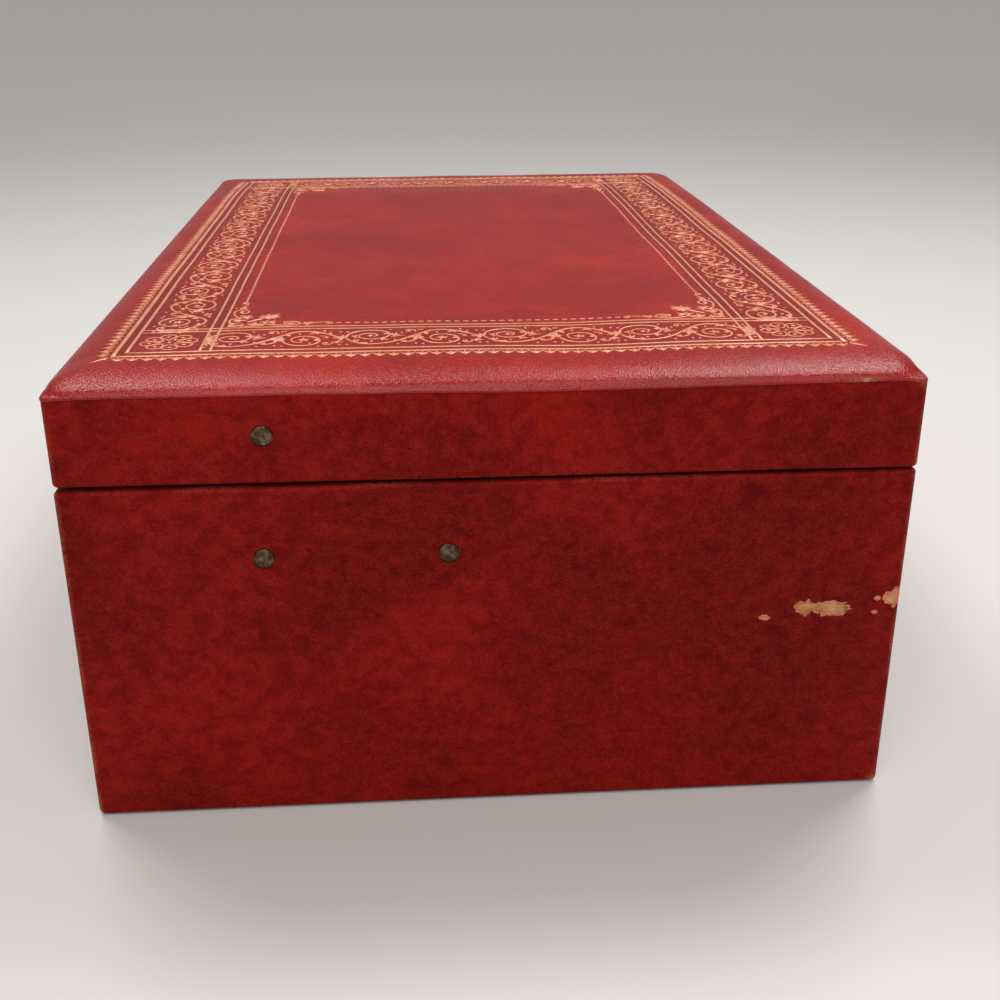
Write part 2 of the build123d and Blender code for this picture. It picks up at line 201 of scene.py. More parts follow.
def choose(piece: Piece, kind: Part, test: Callable[[object], bool]) -> int:
    """Select the elements of the piece in edit mode that pass a test, and nothing else.

    Args:
        piece: The piece being shaped.
        kind: Which kind of element to select.
        test: Takes a vertex, edge or face and says whether it is wanted.

    Returns:
        How many elements were selected.
    """
    bpy.ops.mesh.select_mode(type=kind.value)
    bpy.ops.mesh.select_all(action="DESELECT")
    shape = bmesh.from_edit_mesh(piece.data)
    elements = {Part.POINT: shape.verts, Part.EDGE: shape.edges, Part.FACE: shape.faces}[kind]
    found = [element for element in elements if test(element)]
    for element in found:
        element.select_set(True)
    shape.select_flush_mode()
    bmesh.update_edit_mesh(piece.data)
    return len(found)


def climb(edge: Edge) -> float:
    """Give how far an edge rises from one end to the other."""
    return abs(edge.verts[0].co.z - edge.verts[1].co.z)


def round_edges(piece: Piece, width: float, steps: int, test: Callable[[Edge], bool]) -> None:
    """Round the edges of a piece in edit mode that pass a test."""
    if choose(piece, Part.EDGE, test):
        bpy.ops.mesh.bevel(offset=width, segments=steps, affect="EDGES", clamp_overlap=True)


def lower_front(piece: Piece, level: float, drop: float) -> None:
    """Lower the front edge of the piece in edit mode, as the lid's rim is lower in front.

    Args:
        piece: The piece being shaped.
        level: The level of its lower edge.
        drop: How far the front is lowered.
    """
    if drop:
        choose(piece, Part.POINT, lambda point: point.co.y < 0 and point.co.z < level + 0.1 * MM)
        bpy.ops.transform.translate(value=(0, 0, -drop))


def slice_at(axis: int, places: Sequence[float]) -> None:
    """Cut the piece in edit mode by planes across one axis, to give it points to bend by.

    Args:
        axis: 0 for X, 1 for Y and 2 for Z.
        places: Where the planes cross that axis.
    """
    normal = Vector((0, 0, 0))
    normal[axis] = 1
    for place in places:
        bpy.ops.mesh.select_all(action="SELECT")
        bpy.ops.mesh.bisect(plane_co=normal * place, plane_no=normal)


def slice_evenly(axis: int, start: float, step: float, count: int) -> None:
    """Cut the piece in edit mode across one axis by a count of planes, a step apart."""
    slice_at(axis, [start + step * number for number in range(1, count + 1)])


def apply(piece: Piece, kind: str, **settings: object) -> None:
    """Add a modifier and apply it.

    Args:
        piece: The piece to work on.
        kind: Blender's word for the modifier.
        settings: The modifier's settings.
    """
    pick(piece)
    modifier = piece.modifiers.new(kind.title(), kind)
    for key, value in settings.items():
        setattr(modifier, key, value)
    bpy.ops.object.modifier_apply(modifier=modifier.name)


def soften(piece: Piece, width: float, steps: int, angle: float) -> None:
    """Round every edge of a piece that is sharper than an angle in degrees."""
    apply(piece, "BEVEL", width=width, segments=steps, limit_method="ANGLE",
          angle_limit=math.radians(angle), use_clamp_overlap=True)


def thicken(piece: Piece, thickness: float) -> None:
    """Give an open skin its thickness, on its inner side."""
    apply(piece, "SOLIDIFY", thickness=thickness, offset=-1)


def cut(piece: Piece, tool: Piece) -> None:
    """Take the shape of a tool out of a piece, with the tool's finish on the cut, and put the tool away."""
    apply(piece, "BOOLEAN", operation="DIFFERENCE", object=tool, solver="EXACT",
          material_mode="TRANSFER")
    bpy.data.objects.remove(tool)


def copy_node(node: str, name: str) -> Piece:
    """Copy the mesh of a construction node into a new piece with whole faces.

    Args:
        node: The construction node.
        name: The new piece's name.

    Returns:
        The new piece, with no material.
    """
    data = frame["nodes"][node].data.copy()
    piece = bpy.data.objects.new(name, data)
    data.name = name
    data.materials.clear()
    bpy.context.scene.collection.objects.link(piece)
    with shaping(piece):
        bpy.ops.mesh.select_all(action="SELECT")
        bpy.ops.mesh.remove_doubles(threshold=0.002 * MM)
        bpy.ops.mesh.dissolve_limited(angle_limit=math.radians(0.6))
        bpy.ops.mesh.normals_make_consistent(inside=False)
    return piece


def face_out(piece: Piece) -> None:
    """Turn every face of a closed piece outwards."""
    with shaping(piece):
        bpy.ops.mesh.select_all(action="SELECT")
        bpy.ops.mesh.normals_make_consistent(inside=False)


def smooth(piece: Piece, angle: float) -> None:
    """Shade a piece smooth, but keep edges sharper than an angle in degrees."""
    pick(piece)
    bpy.ops.object.shade_smooth_by_angle(angle=math.radians(angle))


def ripple(piece: Piece, depth: float, span: float, seed: float, hold: Callable[[Vector], float]) -> None:
    """Move the points of a piece a little, as hand-laid material lies.

    Args:
        piece: The piece to unsettle.
        depth: The largest move, in metres.
        span: The distance between one bump and the next, in metres.
        seed: A number that picks the pattern.
        hold: Gives how far a point may move, from 0 to 1.
    """
    for point in piece.data.vertices:
        shift = noise.noise_vector(point.co / span + Vector((seed, seed, seed)))
        point.co += shift * depth * hold(point.co)


def swell(piece: Piece, voxel: float, most: float, held: Callable[[Vector], bool], frames: int = 20) -> None:
    """Fill a closed form with pressure as a stuffed cloth, and let no point move too far.

    Args:
        piece: The closed form, which is given an even mesh first.
        voxel: The size of that mesh's cells.
        most: The farthest that a point may move.
        held: Says whether a point is held in place.
        frames: How many steps the cloth is given.
    """
    apply(piece, "REMESH", mode="VOXEL", voxel_size=voxel)
    rest = [point.co.copy() for point in piece.data.vertices]
    group = piece.vertex_groups.new(name="held")
    group.add([index for index, place in enumerate(rest) if held(place)], 1.0, "REPLACE")
    cloth = piece.modifiers.new("Cloth", "CLOTH")
    cloth.settings.use_pressure = True
    cloth.settings.uniform_pressure_force = 4
    cloth.settings.effector_weights.gravity = 0
    cloth.settings.vertex_group_mass = group.name
    cloth.point_cache.frame_end = frames
    for number in range(1, frames + 1):
        bpy.context.scene.frame_set(number)
    pick(piece)
    bpy.ops.object.modifier_apply(modifier=cloth.name)
    for point, place in zip(piece.data.vertices, rest):
        move = point.co - place
        if move.length > most:
            point.co = place + move * (most / move.length)
    piece.vertex_groups.clear()
    bpy.context.scene.frame_set(1)
    apply(piece, "SUBSURF", levels=1, render_levels=1)


def join(name: str, pieces: Sequence[Piece]) -> Piece:
    """Join several pieces into one.

    Args:
        name: The name of the joined piece.
        pieces: The pieces, of which the first takes in the others.

    Returns:
        The joined piece.
    """
    clear()
    for piece in pieces:
        piece.select_set(True)
    bpy.context.view_layer.objects.active = pieces[0]
    bpy.ops.object.join()
    return named(name)


class Graph:
    """The node tree of one material while it is written."""

    def __init__(self, name: str) -> None:
        """Start a material with its main shader and the coordinates of its object."""
        self.material = bpy.data.materials.new(name)
        self.material.use_nodes = True
        self.nodes = self.material.node_tree.nodes
        self.links = self.material.node_tree.links
        self.shader = self.nodes["Principled BSDF"]
        self.place = self.put("TexCoord", "Object", {})

    def fill(self, socket: Socket, value: Socket | float | Sequence[float]) -> None:
        """Link a source to a socket, or set the socket's own constant.

        Args:
            socket: The socket to fill.
            value: A source, a number, or a row of numbers, such as a colour.
        """
        if isinstance(value, Socket):
            self.links.new(value, socket)
        else:
            socket.default_value = (*value, 1) if socket.type == "RGBA" else value

    def put(self, kind: str, output: str | int, inputs: dict[str | int, object], **settings: object) -> Socket:
        """Add a node and fill its inputs.

        Args:
            kind: The node's type, after the words that all shader nodes begin with.
            output: The name or number of the output wanted.
            inputs: What fills each input, by its name or number.
            settings: The node's settings.

        Returns:
            The output.
        """
        node = self.nodes.new("ShaderNode" + kind)
        for key, value in settings.items():
            setattr(node, key, value)
        for key, value in inputs.items():
            self.fill(node.inputs[key], value)
        return node.outputs[output]

    def set(self, **values: Socket | float | Colour) -> None:
        """Fill the main shader's own sockets, named with underscores for spaces."""
        for key, value in values.items():
            self.fill(self.shader.inputs[key.replace("_", " ")], value)

    def stretch(self, scale: Sequence[float]) -> Socket:
        """Scale the object's coordinates."""
        return self.put("Mapping", "Vector", {"Vector": self.place, "Scale": scale})

    def clouds(self, span: float, detail: float = 3, rough: float = 0.5, warp: float = 0,
               place: Socket | None = None) -> Socket:
        """Make soft noise whose patches are about one span wide.

        Args:
            span: Width of a patch, in metres.
            detail: How many finer layers it has.
            rough: How strong the finer layers are.
            warp: How far it is twisted.
            place: Coordinates, or the object's own where left out.

        Returns:
            The noise, from 0 to 1.
        """
        return self.put("TexNoise", "Fac", {"Vector": place or self.place, "Scale": 1 / span, "Detail": detail,
                                            "Roughness": rough, "Distortion": warp})

    def cells(self, span: float) -> Socket:
        """Make a pattern of cells and give the distance to their middles."""
        return self.put("TexVoronoi", "Distance", {"Vector": self.place, "Scale": 1 / span})

    def axis(self, letter: str) -> Socket:
        """Give one coordinate of the object."""
        return self.put("SeparateXYZ", letter, {0: self.place})

    def attribute(self, name: str) -> Socket:
        """Read a value that the piece's own points carry."""
        return self.put("Attribute", "Fac", {}, attribute_name=name)

    def sum(self, kind: str, first: Socket | float, second: Socket | float = 0.0, clamp: bool = False) -> Socket:
        """Work out one step of arithmetic on sockets or numbers."""
        return self.put("Math", 0, {0: first, 1: second}, operation=kind, use_clamp=clamp)

    def weigh(self, *parts: tuple[Socket, float]) -> Socket:
        """Add up several sources, each by its share."""
        scaled = [self.sum("MULTIPLY", source, share) for source, share in parts]
        return reduce(lambda total, part: self.sum("ADD", total, part), scaled)

    def span(self, source: Socket, low: float, high: float, start: float = 0.0, end: float = 1.0) -> Socket:
        """Map a range of values smoothly onto another, held at both ends."""
        return self.put("MapRange", "Result", {"Value": source, "From Min": low, "From Max": high,
                                               "To Min": start, "To Max": end}, interpolation_type="SMOOTHSTEP")

    def tones(self, source: Socket, *stops: tuple[float, Colour]) -> Socket:
        """Turn a value into a colour.

        Args:
            source: The value.
            stops: At least two places along its range, each with the colour there.

        Returns:
            The colour.
        """
        colour = self.put("ValToRGB", "Color", {"Fac": source})
        elements = colour.node.color_ramp.elements
        while len(elements) < len(stops):
            elements.new(0.5)
        for element, (place, tone) in zip(elements, stops):
            element.position = place
            element.color = (*tone, 1)
        return colour

    def blend(self, share: Socket | float, first: Socket | Colour, second: Socket | Colour) -> Socket:
        """Mix two colours by a share."""
        return self.put("Mix", 2, {0: share, 6: first, 7: second}, data_type="RGBA")

    def threads(self, span: float, width: float, warp: float, place: Socket) -> Socket:
        """Make thin curly threads, as the fibres in mottled paper, from the level line of twisted noise."""
        level = self.clouds(span, 2.0, 0.5, warp, place)
        return self.span(self.sum("ABSOLUTE", self.sum("SUBTRACT", level, 0.5)), 0.0, width, 1.0, 0.0)

    def frame_gap(self, half: tuple[float, float], middle: tuple[float, float]) -> Socket:
        """Measure from the outline of a rectangle on the plan.

        Args:
            half: The rectangle's half sizes.
            middle: Its middle.

        Returns:
            How far a place lies outside it, negative inside.
        """
        parts = []
        for letter, reach, centre in zip("XY", half, middle):
            away = self.sum("ABSOLUTE", self.sum("SUBTRACT", self.axis(letter), centre))
            parts.append(self.sum("SUBTRACT", away, reach))
        return self.sum("MAXIMUM", *parts)

    def emboss(self, height: Socket, depth: float, under: Socket | None = None, strength: float = 1.0) -> Socket:
        """Turn a height pattern into a bump on the main shader.

        Args:
            height: The pattern.
            depth: How deep it is, in metres.
            under: Another bump that it lies on, where there is one.
            strength: How much of it shows, from 0 to 1.

        Returns:
            The bump, for another to lie on.
        """
        inputs = {"Height": height, "Distance": depth, "Strength": strength}
        if under is not None:
            inputs["Normal"] = under
        bump = self.put("Bump", "Normal", inputs)
        self.set(Normal=bump)
        return bump


@dataclass(frozen=True)
class BorderPlan:
    """Where the rules of the gilt border lie on the plan of the lid, in metres."""

    middle: tuple[float, float] = (0.0, 0.7 * MM)
    outer: tuple[float, float] = (133.9 * MM, 82.4 * MM)
    inner_gap: tuple[float, float] = (2.8 * MM, 2.4 * MM)
    band: tuple[float, float] = (17.3 * MM, 16.1 * MM)
    twin_gap: float = 2.3 * MM
    dash_gap: float = 3.1 * MM

    def frames(self) -> dict[str, tuple[float, float]]:
        """Give the half sizes of each rectangle of rules, from the outside in."""
        inner = (self.outer[0] - self.inner_gap[0], self.outer[1] - self.inner_gap[1])
        twin = (inner[0] - self.band[0], inner[1] - self.band[1])
        second = (twin[0] - self.twin_gap, twin[1] - self.twin_gap)
        dashes = (second[0] - self.dash_gap, second[1] - self.dash_gap)
        return {"outer": self.outer, "inner": inner, "twin": twin, "second": second, "dashes": dashes}


@dataclass(frozen=True)
class Finish:
    """A named finish, whose own kinds below write its nodes."""

    name: str

    def make(self) -> Material:
        """Make the material."""
        graph = Graph(self.name)
        self.write(graph)
        return graph.material

    def write(self, graph: Graph) -> None:
        """Write the nodes of this kind of finish."""
        raise NotImplementedError


@dataclass(frozen=True)
class Leatherette(Finish):
    """Mottled red leatherette, as a smooth paper on the sides or a pebbled skin on the padded top."""

    deep: Colour
    body: Colour
    bright: Colour
    thread: Colour
    worn: Colour
    bare: Colour
    shares: tuple[float, float, float]
    flatness: float
    cloud_span: float
    mottle_span: float
    fleck_span: float
    thread_span: float
    thread_share: float
    grain_span: float
    grain_depth: float
    roughness: float
    gloss: float
    tooling: BorderPlan | None = None
    tooled: Colour = (0.0, 0.0, 0.0)

    def write(self, graph: Graph) -> None:
        """Write the mottle, the threads, the grain and the wear."""
        laid = graph.stretch((1, 1, self.flatness))
        cloud = graph.clouds(self.cloud_span, 2, 0.45, 0.5)
        mottle = graph.clouds(self.mottle_span, 7, 0.66, 0.35, laid)
        fleck = graph.clouds(self.fleck_span, 3, 0.8, 0.3, laid)
        value = graph.weigh(*zip((cloud, mottle, fleck), self.shares))
        colour = graph.tones(value, (0.39, self.deep), (0.50, self.body), (0.61, self.bright))
        curls = graph.threads(self.thread_span, 0.07, 2.2, laid)
        finer = graph.threads(self.thread_span * 0.5, 0.09, 1.5, laid)
        hair = graph.sum("MAXIMUM", curls, graph.sum("MULTIPLY", finer, 0.7))
        shown = graph.span(mottle, 0.36, 0.6, 0.35 * self.thread_share, self.thread_share)
        colour = graph.blend(graph.sum("MULTIPLY", hair, shown), colour, self.thread)
        fine = graph.clouds(self.grain_span * 0.6, 2, 0.6)
        relief = graph.sum("ADD", graph.sum("MULTIPLY", graph.cells(self.grain_span), 0.8), fine)
        if self.tooling:
            colour, relief = self.tool(graph, colour, relief)
        rubbed = graph.attribute("rubbed")
        patchy = graph.sum("MULTIPLY", graph.sum("MULTIPLY", rubbed, 1.6), graph.span(fleck, 0.36, 0.60), clamp=True)
        colour = graph.blend(graph.sum("MULTIPLY", patchy, 0.9), colour, self.worn)
        through = graph.span(graph.sum("ADD", rubbed, graph.sum("MULTIPLY", fleck, 0.35)), 1.0, 1.12)
        graph.set(Base_Color=graph.blend(through, colour, self.bare))
        bump = graph.emboss(relief, self.grain_depth)
        graph.emboss(mottle, self.grain_depth * 2, bump, 0.4)
        rough = graph.span(fleck, 0.3, 0.7, self.roughness - 0.06, self.roughness + 0.08)
        graph.set(Roughness=graph.sum("ADD", rough, graph.sum("MULTIPLY", patchy, 0.2)))
        graph.set(Specular_IOR_Level=self.gloss)

    def tool(self, graph: Graph, colour: Socket, relief: Socket) -> tuple[Socket, Socket]:
        """Darken and press in the ground along the rules of the border.

        Args:
            graph: The node tree.
            colour: The colour so far.
            relief: The height pattern so far.

        Returns:
            The colour and the height pattern with the tooling.
        """
        frames = self.tooling.frames()
        groove = None
        for key, reach in (("outer", 0.62), ("inner", 0.58), ("twin", 0.5), ("second", 0.5)):
            gap = graph.frame_gap(frames[key], self.tooling.middle)
            line = graph.span(graph.sum("ABSOLUTE", gap), reach * MM, (reach + 0.55) * MM, 1.0, 0.0)
            groove = line if groove is None else graph.sum("MAXIMUM", groove, line)
        outside = graph.frame_gap(frames["outer"], self.tooling.middle)
        inside = graph.frame_gap(frames["second"], self.tooling.middle)
        ground = graph.sum("MULTIPLY", graph.span(outside, -0.5 * MM, 0.5 * MM, 1.0, 0.0),
                           graph.span(inside, -0.5 * MM, 0.5 * MM))
        colour = graph.blend(graph.sum("MULTIPLY", ground, 0.30), colour, self.tooled)
        colour = graph.blend(graph.sum("MULTIPLY", groove, 0.72), colour, self.tooled)
        return colour, graph.sum("SUBTRACT", relief, graph.sum("MULTIPLY", groove, 1.2))


@dataclass(frozen=True)
class Gilding(Finish):
    """Thin tooled foil, rubbed through in small spots."""

    foil: Colour
    dull: Colour
    ground: Colour

    def write(self, graph: Graph) -> None:
        """Write the foil, its dull patches and the rubbed spots."""
        tone = graph.clouds(9 * MM, 3, 0.55)
        colour = graph.blend(graph.span(tone, 0.38, 0.66), self.foil, self.dull)
        rubbed = graph.span(graph.clouds(0.9 * MM, 4, 0.68), 0.56, 0.68, 0.0, 0.7)
        graph.set(Base_Color=graph.blend(rubbed, colour, self.ground))
        graph.set(Metallic=graph.span(rubbed, 0.0, 0.7, 0.55, 0.1))
        graph.set(Roughness=graph.span(tone, 0.3, 0.7, 0.34, 0.5))
        graph.emboss(graph.clouds(0.5 * MM, 2, 0.6), 0.02 * MM)


@dataclass(frozen=True)
class Board(Finish):
    """Tan paperboard or raw wood under the covering."""

    pale: Colour
    dark: Colour
    fibre_span: float

    def write(self, graph: Graph) -> None:
        """Write the fibres, which lie level, and the spots."""
        fibre = graph.clouds(self.fibre_span, 5, 0.65, 0.4, graph.stretch((0.25, 0.25, 2.4)))
        value = graph.weigh((fibre, 0.6), (graph.clouds(3 * MM, 3, 0.6), 0.4))
        graph.set(Base_Color=graph.tones(value, (0.38, self.dark), (0.62, self.pale)))
        graph.set(Roughness=graph.span(fibre, 0.3, 0.7, 0.78, 0.92))
        graph.emboss(fibre, 0.12 * MM)


@dataclass(frozen=True)
class Pile(Finish):
    """A cloth with a short pile, such as velvet or felt."""

    shade: Colour
    light: Colour
    nap_span: float
    nap_depth: float
    sheen: float

    def write(self, graph: Graph) -> None:
        """Write the nap and the marks where it is brushed."""
        brushed = graph.clouds(20 * MM, 3, 0.45, 0.4)
        nap = graph.clouds(self.nap_span, 3, 0.75)
        value = graph.weigh((brushed, 0.5), (nap, 0.5))
        graph.set(Base_Color=graph.tones(value, (0.36, self.shade), (0.64, self.light)))
        graph.set(Roughness=graph.span(brushed, 0.3, 0.7, 0.82, 0.96))
        bump = graph.emboss(nap, self.nap_depth)
        graph.emboss(brushed, self.nap_depth * 2, bump, 0.4)
        graph.set(Sheen_Weight=self.sheen, Sheen_Roughness=0.35, Sheen_Tint=self.light, Specular_IOR_Level=0.2)


@dataclass(frozen=True)
class Satin(Finish):
    """Woven satin with long floats that catch the light along one direction."""

    shade: Colour
    light: Colour
    thread: float

    def write(self, graph: Graph) -> None:
        """Write the long floats, the weft between them and the watered sheen."""
        floats = graph.clouds(self.thread * 2.5, 2, 0.5, 0, graph.stretch((0.12, 1, 1)))
        weft = graph.clouds(self.thread * 2.5, 2, 0.5, 0, graph.stretch((1, 0.12, 1)))
        weave = graph.weigh((floats, 0.75), (weft, 0.25))
        value = graph.weigh((graph.clouds(40 * MM, 2, 0.4, 0.3), 0.35), (weave, 0.65))
        graph.set(Base_Color=graph.tones(value, (0.38, self.shade), (0.62, self.light)))
        graph.set(Roughness=graph.span(weave, 0.3, 0.7, 0.30, 0.46))
        graph.emboss(weave, 0.05 * MM)
        graph.set(Sheen_Weight=0.35, Sheen_Roughness=0.3, Sheen_Tint=self.light, Anisotropic=0.5)


@dataclass(frozen=True)
class Metal(Finish):
    """A worked metal with tool lines, tarnish and spots."""

    clean: Colour
    tarnish: Colour
    spot: Colour
    roughness: float
    tarnished: float
    lines: tuple[float, float, float]

    def write(self, graph: Graph) -> None:
        """Write the tarnish, the spots and the tool lines."""
        cover = graph.clouds(2.4 * MM, 5, 0.66, 0.5)
        spots = graph.clouds(0.55 * MM, 3, 0.6)
        low = 0.62 - 0.3 * self.tarnished
        colour = graph.blend(graph.span(cover, low - 0.1, low + 0.12), self.clean, self.tarnish)
        graph.set(Base_Color=graph.blend(graph.span(spots, 0.60, 0.70, 0.0, 0.8), colour, self.spot))
        scratches = graph.clouds(0.6 * MM, 3, 0.7, 0, graph.stretch(self.lines))
        rough = graph.span(cover, 0.35, 0.7, self.roughness, self.roughness + 0.25)
        graph.set(Roughness=graph.sum("ADD", rough, graph.sum("MULTIPLY", scratches, 0.12)))
        bump = graph.emboss(scratches, 0.03 * MM)
        graph.emboss(spots, 0.04 * MM, bump)
        graph.set(Metallic=1.0)


@dataclass(frozen=True)
class Foam(Finish):
    """Open foam with small cells."""

    pale: Colour
    dark: Colour

    def write(self, graph: Graph) -> None:
        """Write the cells."""
        cells = graph.cells(0.7 * MM)
        graph.set(Base_Color=graph.tones(cells, (0.2, self.dark), (0.7, self.pale)))
        graph.set(Roughness=graph.span(cells, 0.0, 1.0, 0.85, 0.98))
        graph.emboss(cells, 0.3 * MM)


@dataclass(frozen=True)
class Surface(Finish):
    """The matt pale floor of the studio, whose tones are painted light: they change away from the viewer and grow
    much paler far off, making up for the lamps' light that falls off there.
    """

    near: Colour
    back: Colour
    far: Colour

    def write(self, graph: Graph) -> None:
        """Write the three tones, each running into the next."""
        mottled = graph.span(graph.clouds(120 * MM, 2, 0.4), 0.3, 0.7, -0.03, 0.03)
        share = graph.sum("ADD", graph.span(graph.axis("X"), -0.05, 0.50), mottled, clamp=True)
        colour = graph.blend(share, self.near, self.back)
        # Painted light: far off the floor turns much paler, where the lamps' light falls off.
        graph.set(Base_Color=graph.blend(graph.span(graph.axis("X"), 0.5, 2.2), colour, self.far))
        graph.set(Roughness=0.55, Specular_IOR_Level=0.25)


FINISHES = (
    Leatherette("side_leatherette", deep=paint(80, 2, 5), body=paint(106, 9, 7), bright=paint(136, 18, 9),
                thread=paint(148, 36, 24), worn=paint(166, 84, 58), bare=paint(196, 126, 80),
                shares=(0.36, 0.30, 0.34), flatness=1.3, cloud_span=42 * MM, mottle_span=4.6 * MM,
                fleck_span=0.8 * MM, thread_span=2.4 * MM, thread_share=0.42, grain_span=0.36 * MM,
                grain_depth=0.05 * MM, roughness=0.46, gloss=0.05),
    # The top's tones are about twice the sides' in linear values: painted light for the stronger overhead light on
    # the level top, which is the same red as the sides.
    Leatherette("top_leatherette", deep=paint(132, 14, 10), body=paint(146, 18, 12), bright=paint(162, 26, 14),
                thread=paint(170, 42, 26), worn=paint(140, 74, 50), bare=paint(170, 108, 78),
                shares=(0.38, 0.36, 0.26), flatness=1.0, cloud_span=60 * MM, mottle_span=14 * MM,
                fleck_span=1.1 * MM, thread_span=4.0 * MM, thread_share=0.18, grain_span=0.46 * MM,
                grain_depth=0.085 * MM, roughness=0.21, gloss=0.34, tooling=BorderPlan(),
                tooled=paint(112, 20, 14)),
    Gilding("gilding", foil=paint(244, 170, 142), dull=paint(222, 146, 104), ground=paint(150, 40, 32)),
    Board("tan_board", pale=paint(203, 150, 98), dark=paint(160, 100, 56), fibre_span=1.2 * MM),
    # Dark brown painted shade for the walls of the rivet holes, standing for the shade inside them.
    Board("old_grime", pale=paint(64, 34, 22), dark=paint(34, 16, 12), fibre_span=0.6 * MM),
    Board("torn_paper", pale=paint(206, 140, 104), dark=paint(168, 84, 60), fibre_span=0.8 * MM),
    Pile("red_velvet", shade=paint(84, 6, 13), light=paint(124, 14, 24), nap_span=0.35 * MM,
         nap_depth=0.10 * MM, sheen=0.7),
    Pile("dark_felt", shade=paint(52, 12, 14), light=paint(82, 22, 22), nap_span=0.9 * MM,
         nap_depth=0.25 * MM, sheen=0.25),
    Satin("red_satin", shade=paint(150, 24, 30), light=paint(188, 46, 48), thread=0.12 * MM),
    Foam("pad_foam", pale=paint(222, 208, 164), dark=paint(172, 152, 104)),
    Metal("stamped_steel", clean=paint(196, 196, 194), tarnish=paint(150, 144, 134), spot=paint(96, 78, 60),
          roughness=0.26, tarnished=0.25, lines=(1.0, 0.12, 1.0)),
    Metal("aged_brass", clean=paint(134, 116, 94), tarnish=paint(84, 66, 48), spot=paint(34, 24, 18),
          roughness=0.46, tarnished=0.6, lines=(1.0, 1.0, 0.3)),
    Metal("hinge_brass", clean=paint(206, 170, 104), tarnish=paint(146, 112, 62), spot=paint(88, 66, 38),
          roughness=0.22, tarnished=0.4, lines=(0.08, 1.0, 1.0)),
)

SLOT_FINISH = {
    Slot.BOARD: "tan_board",
    Slot.SIDES: "side_leatherette",
    Slot.TOP: "top_leatherette",
    Slot.FELT: "dark_felt",
    Slot.VELVET: "red_velvet",
    Slot.SATIN: "red_satin",
    Slot.FOAM: "pad_foam",
    Slot.STEEL: "stamped_steel",
    Slot.BRASS: "aged_brass",
    Slot.GILDING: "gilding",
}


@dataclass
class Assembly:
    """A part of the box whose pieces ride on one body."""

    palette: dict[str, Material]
    body: str

    def finish(self, piece: Piece, slot: Slot, *nodes: str, material: str = "") -> Piece:
        """Dress a finished piece and put it on its body.

        Args:
            piece: The piece, in its place.
            slot: The record's slot that it takes its finish from.
            nodes: The construction nodes that it stands for.
            material: The name of its finish, where it isn't the slot's usual one.

        Returns:
            The same piece.
        """
        if not piece.data.materials:
            piece.data.materials.append(self.palette[material or SLOT_FINISH[slot]])
        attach(piece, self.body)
        if nodes:
            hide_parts(*nodes)
        log.info("%s: %d faces on %s", piece.name, len(piece.data.polygons), self.body)
        return piece

    def wrapped(self, node: str, name: str, edge: float, steps: int, slot: Slot, material: str = "") -> None:
        """Copy a construction node and round its edges, as cloth or a tool leaves them.

        Args:
            node: The construction node.
            name: The new piece's name.
            edge: How far its edges are rounded.
            steps: How many faces make up the round.
            slot: The record's slot that it takes its finish from.
            material: The name of its finish, where it isn't the slot's usual one.
        """
        piece = copy_node(node, name)
        soften(piece, edge, steps, 40)
        smooth(piece, 40)
        self.finish(piece, slot, node, material=material)


def set_values(piece: Piece, name: str, value: Callable[[Vector], float]) -> None:
    """Store a value on every point of a piece for its material to read.

    Args:
        piece: The piece.
        name: The attribute's name.
        value: Gives the value at a place.
    """
    layer = piece.data.attributes.new(name, "FLOAT", "POINT")
    for index, point in enumerate(piece.data.vertices):
        layer.data[index].value = value(point.co)


def steady(place: Vector, span: float, seed: float = 0.0) -> float:
    """Give soft noise from -1 to 1 at a place, the same in every run."""
    return noise.noise(place / span + Vector((seed, 2 * seed, 3 * seed)))


def within(value: float) -> float:
    """Hold a value between 0 and 1."""
    return min(max(value, 0.0), 1.0)


